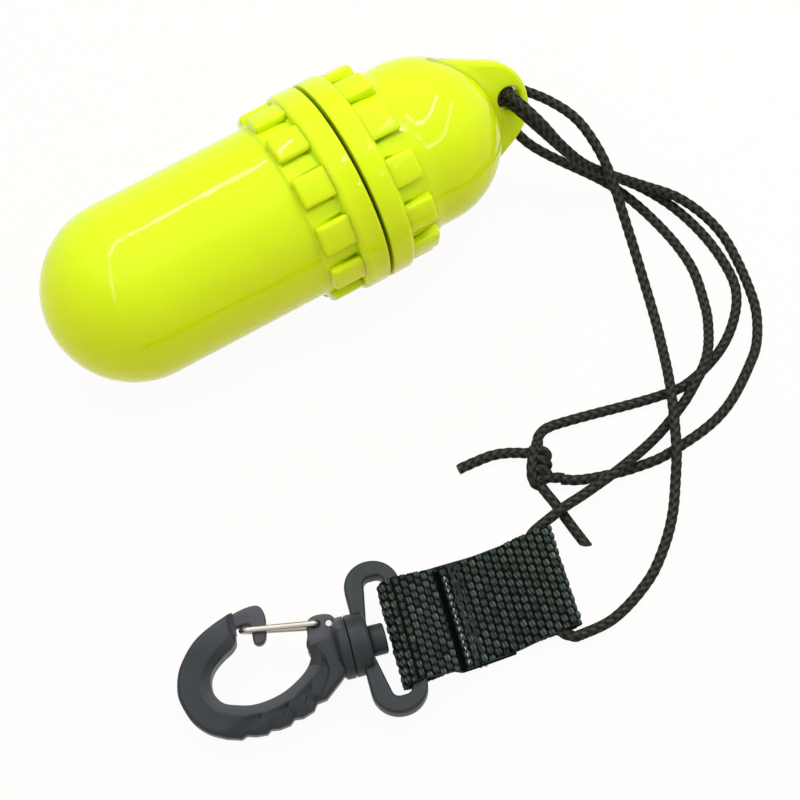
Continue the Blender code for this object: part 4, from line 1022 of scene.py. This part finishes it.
def leaf_drop(angle, share):
    """How far a grip leaf has sunk; it runs out at a slanted edge, where the next one starts proud."""
    edges = [notch + lean * (1 - share)**0.8 for notch, lean in zip(notch_angles, LEAF_LEANS)]
    edges = [edges[0] - FIRST_LEAF, *edges, edges[-1] + LAST_LEAF]
    for start, end in zip(edges, edges[1:]):
        if start <= angle < end:
            sunk = (angle - start) / (end - start)
            if start == edges[-2]:
                return LEAF_DROP * max(0.0, 1 - (angle - start) / LEAF_STEP)
            if start > edges[0] and angle - start < LEAF_STEP:
                return LEAF_DROP * (1 - (angle - start) / LEAF_STEP * (1 - sunk))
            return LEAF_DROP * sunk
    return 0.0


def hook_section(angle):
    """Section of the hook's arm in a direction, as (distance from the centre, height) points."""
    inner, outer = outline_reach(hook_inner, angle), outline_reach(hook_back, angle)
    top = HOOK_HALF_THICKNESS
    bevel = min(BEVEL_WIDTH, 0.4 * (outer - inner))
    half = [(inner + OPENING_DRAFT, 0.0)]
    half += [(inner + off, top - BEVEL_DEPTH + rise) for off, rise in OPENING_EDGE]
    half.append((inner + bevel + BEVEL_EDGE[0], top + BEVEL_EDGE[1]))
    for i in range(15):
        share = i / 14
        reach = inner + bevel + (outer - BACK_ROUND - inner - bevel) * share
        half.append((reach, top - leaf_drop(angle, share) * min(1.0, 4 * share)))
    drop = leaf_drop(angle, 1.0)
    for i in range(1, 6):
        turn = pi / 2 * i / 5
        half.append((outer - BACK_ROUND * (1 - sin(turn)), top - drop - BACK_ROUND * (1 - cos(turn))))
    half.append((outer, 0.0))
    under = [(reach - BACK_DRAFT * min(1.0, (reach - inner) / bevel), -height)
             for reach, height in half[-2:0:-1]]
    ray = Vector((cos(angle), sin(angle)))
    return [(*(HOOK_CENTRE + ray * reach), height) for reach, height in half + under]


angles = [HOOK_START]
while angles[-1] < HOOK_END:
    angles.append(angles[-1] + (FINE_STEP if angles[-1] > GRIP_START else COARSE_STEP))
hook_shape = bmesh.new()
skin(hook_shape, [hook_section(angle) for angle in angles[:-1]])
for (x, z), (facing_x, facing_z) in NOSE_CUTS:
    middles = [(face, face.calc_center_median()) for face in hook_shape.faces]
    near = [face for face, middle in middles if middle.y < 0 and middle.x > HOOK_CENTRE.x]
    geom = {item for face in near for item in (face, *face.edges, *face.verts)}
    cut = bmesh.ops.bisect_plane(hook_shape, geom=list(geom), plane_co=(x, 0, z),
                                 plane_no=(facing_x, 0, facing_z), clear_outer=True)["geom_cut"]
    rim = [item for item in cut if isinstance(item, bmesh.types.BMEdge)]
    bmesh.ops.holes_fill(hook_shape, edges=rim, sides=0)
bmesh.ops.recalc_face_normals(hook_shape, faces=hook_shape.faces)


def plate(outline, half_thickness, rounding):
    """A flat plate on z = 0 with rounded edges."""
    shape = bmesh.new()
    face = shape.faces.new([shape.verts.new((x, y, 0.0)) for x, y in outline])
    thicken(shape, [face], half_thickness, rounding)
    return shape


join(hook_shape, plate(flat_route(NOSE_OUTLINE, spacing=0.0004), NOSE_HALF_THICKNESS, PLATE_ROUND))
ear_shape = plate(flat_route(EAR_OUTLINE, spacing=0.0005), EAR_HALF_THICKNESS, PLATE_ROUND)
hole = [(0.0, -HOLE_REACH), (WIRE_HOLE, -HOLE_REACH), (WIRE_HOLE, HOLE_REACH), (0.0, HOLE_REACH)]
hole_shape = spun(hole, steps=32)
move(hole_shape, Matrix.Translation(gate_pivot))
ear_shape = carved(ear_shape, hole_shape)
slot_shape = plate(closed_outline(*EAR_SLOT, EAR_SLOT_HALF, EAR_SLOT_HALF - MERGE), PIN_DEPTH, PIN_DEPTH / 20)
move(slot_shape, Matrix.Translation(gate_pivot + Vector((0.0, EAR_SLOT_OFF, EAR_HALF_THICKNESS))))
ear_shape = carved(ear_shape, slot_shape)
join(hook_shape, ear_shape)
stem_shape = spun(rounded_outline([
    (0.0, COLLAR_END, 0), (0.75 * BOSS_RADIUS, COLLAR_END, STEM_ROUND),
    (BOSS_RADIUS, COLLAR_FAR, COLLAR_ROUND), (BOSS_RADIUS, COLLAR_NEAR, SWIVEL_EDGE),
    (STEM_RADIUS, COLLAR_NEAR, 0), (STEM_RADIUS, HEAD_END, 0), (HEAD_RADIUS, HEAD_END, SWIVEL_EDGE),
    (HEAD_RADIUS, HEAD_START, STEM_ROUND), (0.0, HEAD_START, 0)]), SWIVEL_STEPS)
move(stem_shape, turned_on_axis)
join(hook_shape, stem_shape)

# Painted light: the upper side is coloured paler where it faces the light from the back: the nose and ear
# plates, the arm's back and the inner bevel.
painted_light = hook_shape.verts.layers.float.new("painted_light")
for vert in [vert for vert in hook_shape.verts if vert.co.z > 0]:
    across = vert.co.xy - HOOK_CENTRE
    angle = atan2(across.y, across.x)
    if PLATES_START < vert.co.x < PLATES_END and vert.co.y < PLATES_SIDE:
        vert[painted_light] = 1.0
    if angle < PAINTED_LIGHT_TURN and vert.co.x > PLATES_END:
        vert[painted_light] = BACK_PAINTED_LIGHT * min(1.0, (PAINTED_LIGHT_TURN - angle) / BACK_FADE)
    if PAINTED_LIGHT_TURN < angle < PAINTED_LIGHT_END:
        past = across.length - outline_reach(hook_inner, angle)
        fading = min(1.0, (angle - PAINTED_LIGHT_TURN) / BEVEL_FADE)
        vert[painted_light] = max(0.0, min(1.0, 2.0 - 1.6 * past / BEVEL_WIDTH)) * fading
new_piece("snap_hook_arm", hook_shape, charcoal, "hook", ["snap_hook"], hook_place)


# Gate: one springy stainless wire, bent into a narrow U round the nose, with its two ends turned
# into the ear a little apart so that the wire twists as it opens.
WIRE_BEND = 0.0020
BEND_STEPS = 10
PIN_BEND = 0.00093
GATE_LEG = 0.0026
GATE_REACH = Vector((0.0028, -0.0005))
GATE_TIP = Vector((0.0190, -0.0030))
GATE_TWIST = Vector((0.0, -0.0007))

steel, shader, here = new_finish("stainless_wire_bright", {
    "Metallic": 1.0, "Base Color": (0.46, 0.43, 0.38, 1.0)})
feed(shader, {"Roughness": here.cloud(900.0, 3.0) * 0.15 + 0.25})


def bent_route(corners, radii):
    """A path of straight runs with each corner rounded to its own bend radius."""
    places = [Vector(c) for c in corners]
    path = [places[0]]
    for before, corner, after, radius in zip(places, places[1:], places[2:], radii):
        centre, start, end, _ = corner_arc(before, corner, after, radius)
        start, end = start.normalized(), end.normalized()
        path += [centre + start.slerp(end, i / BEND_STEPS) * radius for i in range(BEND_STEPS + 1)]
    return path + [places[-1]]


gate_corners = [
    (0, 0, EAR_HALF_THICKNESS), (0, 0, -GATE_LEG), (*(GATE_TIP + GATE_TWIST), -GATE_LEG),
    (*GATE_TIP, GATE_LEG), (*GATE_REACH, GATE_LEG), (*GATE_REACH, EAR_HALF_THICKNESS - PIN_DEPTH),
]
gate_path = bent_route(gate_corners, (PIN_BEND, WIRE_BEND, WIRE_BEND, PIN_BEND))
gate_shape = bmesh.new()
skin(gate_shape, rings(gate_path, 16, lambda angle, length: WIRE_RADIUS))
new_piece("gate_wire_bent", gate_shape, steel, "gate", ["gate_wire"],
          hook_place @ Matrix.Translation(gate_pivot))


# Studio: a white table under an open white tent, lit softly from above, with narrow lamps along the
# tent's frame that draw the long glints on the plastic. The table keeps a soft shadow.
CAMERA_PLACE = Vector((-0.1070, -0.2013, 0.4198))
CAMERA_AIM = Vector((0.0097, 0.0, 0.0))
CAMERA_LENS = 89.67
TABLE_SIZE = 20.0
TABLE_WHITE = 0.95
TENT_LEVEL = 0.40
LAMP_AIM = Vector((0.0, 0.0, 0.02))
# Each lamp's name, its two ends, its width and its watts.
LAMPS = [
    ("soft_top", (-1.00, 0.30, 1.20), (1.00, 0.30, 1.20), 1.6, 9.0),
    ("frame_back", (-0.130, 0.184, 0.40), (0.031, 0.304, 0.40), 0.020, 0.35),
    ("frame_left", (-0.130, 0.184, 0.40), (-0.357, -0.239, 0.40), 0.015, 0.26),
    ("frame_right", (0.098, -0.040, 0.40), (0.318, 0.156, 0.40), 0.010, 0.40),
    ("frame_far", (0.140, -0.317, 0.40), (0.560, 0.167, 0.40), 0.010, 0.48),
]

scene = bpy.context.scene
scene.view_settings.view_transform = "Standard"
camera = bpy.data.objects.new("camera", bpy.data.cameras.new("camera"))
camera.data.lens = CAMERA_LENS
camera.data.clip_start = 0.01
camera.location = CAMERA_PLACE
camera.rotation_euler = (CAMERA_AIM - CAMERA_PLACE).to_track_quat("-Z", "Y").to_euler()
scene.collection.objects.link(camera)
scene.camera = camera


def seen_directly(tree):
    """1 for rays from the camera, a mirror or glass, and 0 for those that carry light."""
    rays = tree.nodes.new("ShaderNodeLightPath").outputs
    mirrored = Field(rays["Is Glossy Ray"]).maths("MAXIMUM", Field(rays["Is Transmission Ray"]))
    return Field(rays["Is Camera Ray"]).maths("MAXIMUM", mirrored)


world = bpy.data.worlds.new("tent")
world.use_nodes = True
scene.world = world
backdrop = world.node_tree.nodes["Background"]
backdrop.inputs["Color"].default_value = (1.0, 1.0, 1.0, 1.0)
tent_light = seen_directly(world.node_tree) * (1 - TENT_LEVEL) + TENT_LEVEL
world.node_tree.links.new(tent_light.socket, backdrop.inputs["Strength"])

table_shape = bmesh.new()
bmesh.ops.create_grid(table_shape, x_segments=1, y_segments=1, size=TABLE_SIZE / 2)
table_mesh = bpy.data.meshes.new("table")
table_shape.to_mesh(table_mesh)
table_shape.free()
table = bpy.data.objects.new("table", table_mesh)
scene.collection.objects.link(table)
paper, shader, here = new_finish("white_paper", {
    "Base Color": (0.92, 0.71, 0.46, 1.0), "Roughness": 0.9, "Specular IOR Level": 0.0})
tree = paper.node_tree
glow = here.node("ShaderNodeEmission", {}, {"Color": (1.0, 1.0, 1.0, 1.0), "Strength": 1.0})
table_mix = tree.nodes.new("ShaderNodeMixShader")
tree.links.new((seen_directly(tree) * TABLE_WHITE).socket, table_mix.inputs["Fac"])
tree.links.new(shader.outputs["BSDF"], table_mix.inputs[1])
tree.links.new(glow.socket, table_mix.inputs[2])
tree.links.new(table_mix.outputs["Shader"], tree.nodes["Material Output"].inputs["Surface"])
table_mesh.materials.append(paper)

for name, start, end, width, power in LAMPS:
    lamp = bpy.data.objects.new(name, bpy.data.lights.new(name, "AREA"))
    lamp.data.shape = "RECTANGLE"
    run = Vector(end) - Vector(start)
    middle = (Vector(start) + Vector(end)) / 2
    lamp.data.size = run.length
    lamp.data.size_y = width
    lamp.data.energy = power
    face = middle - LAMP_AIM
    face = (face - run * (face.dot(run) / run.length_squared)).normalized()
    lamp.matrix_world = set_at(middle, run.normalized(), face.cross(run.normalized()), face)
    scene.collection.objects.link(lamp)
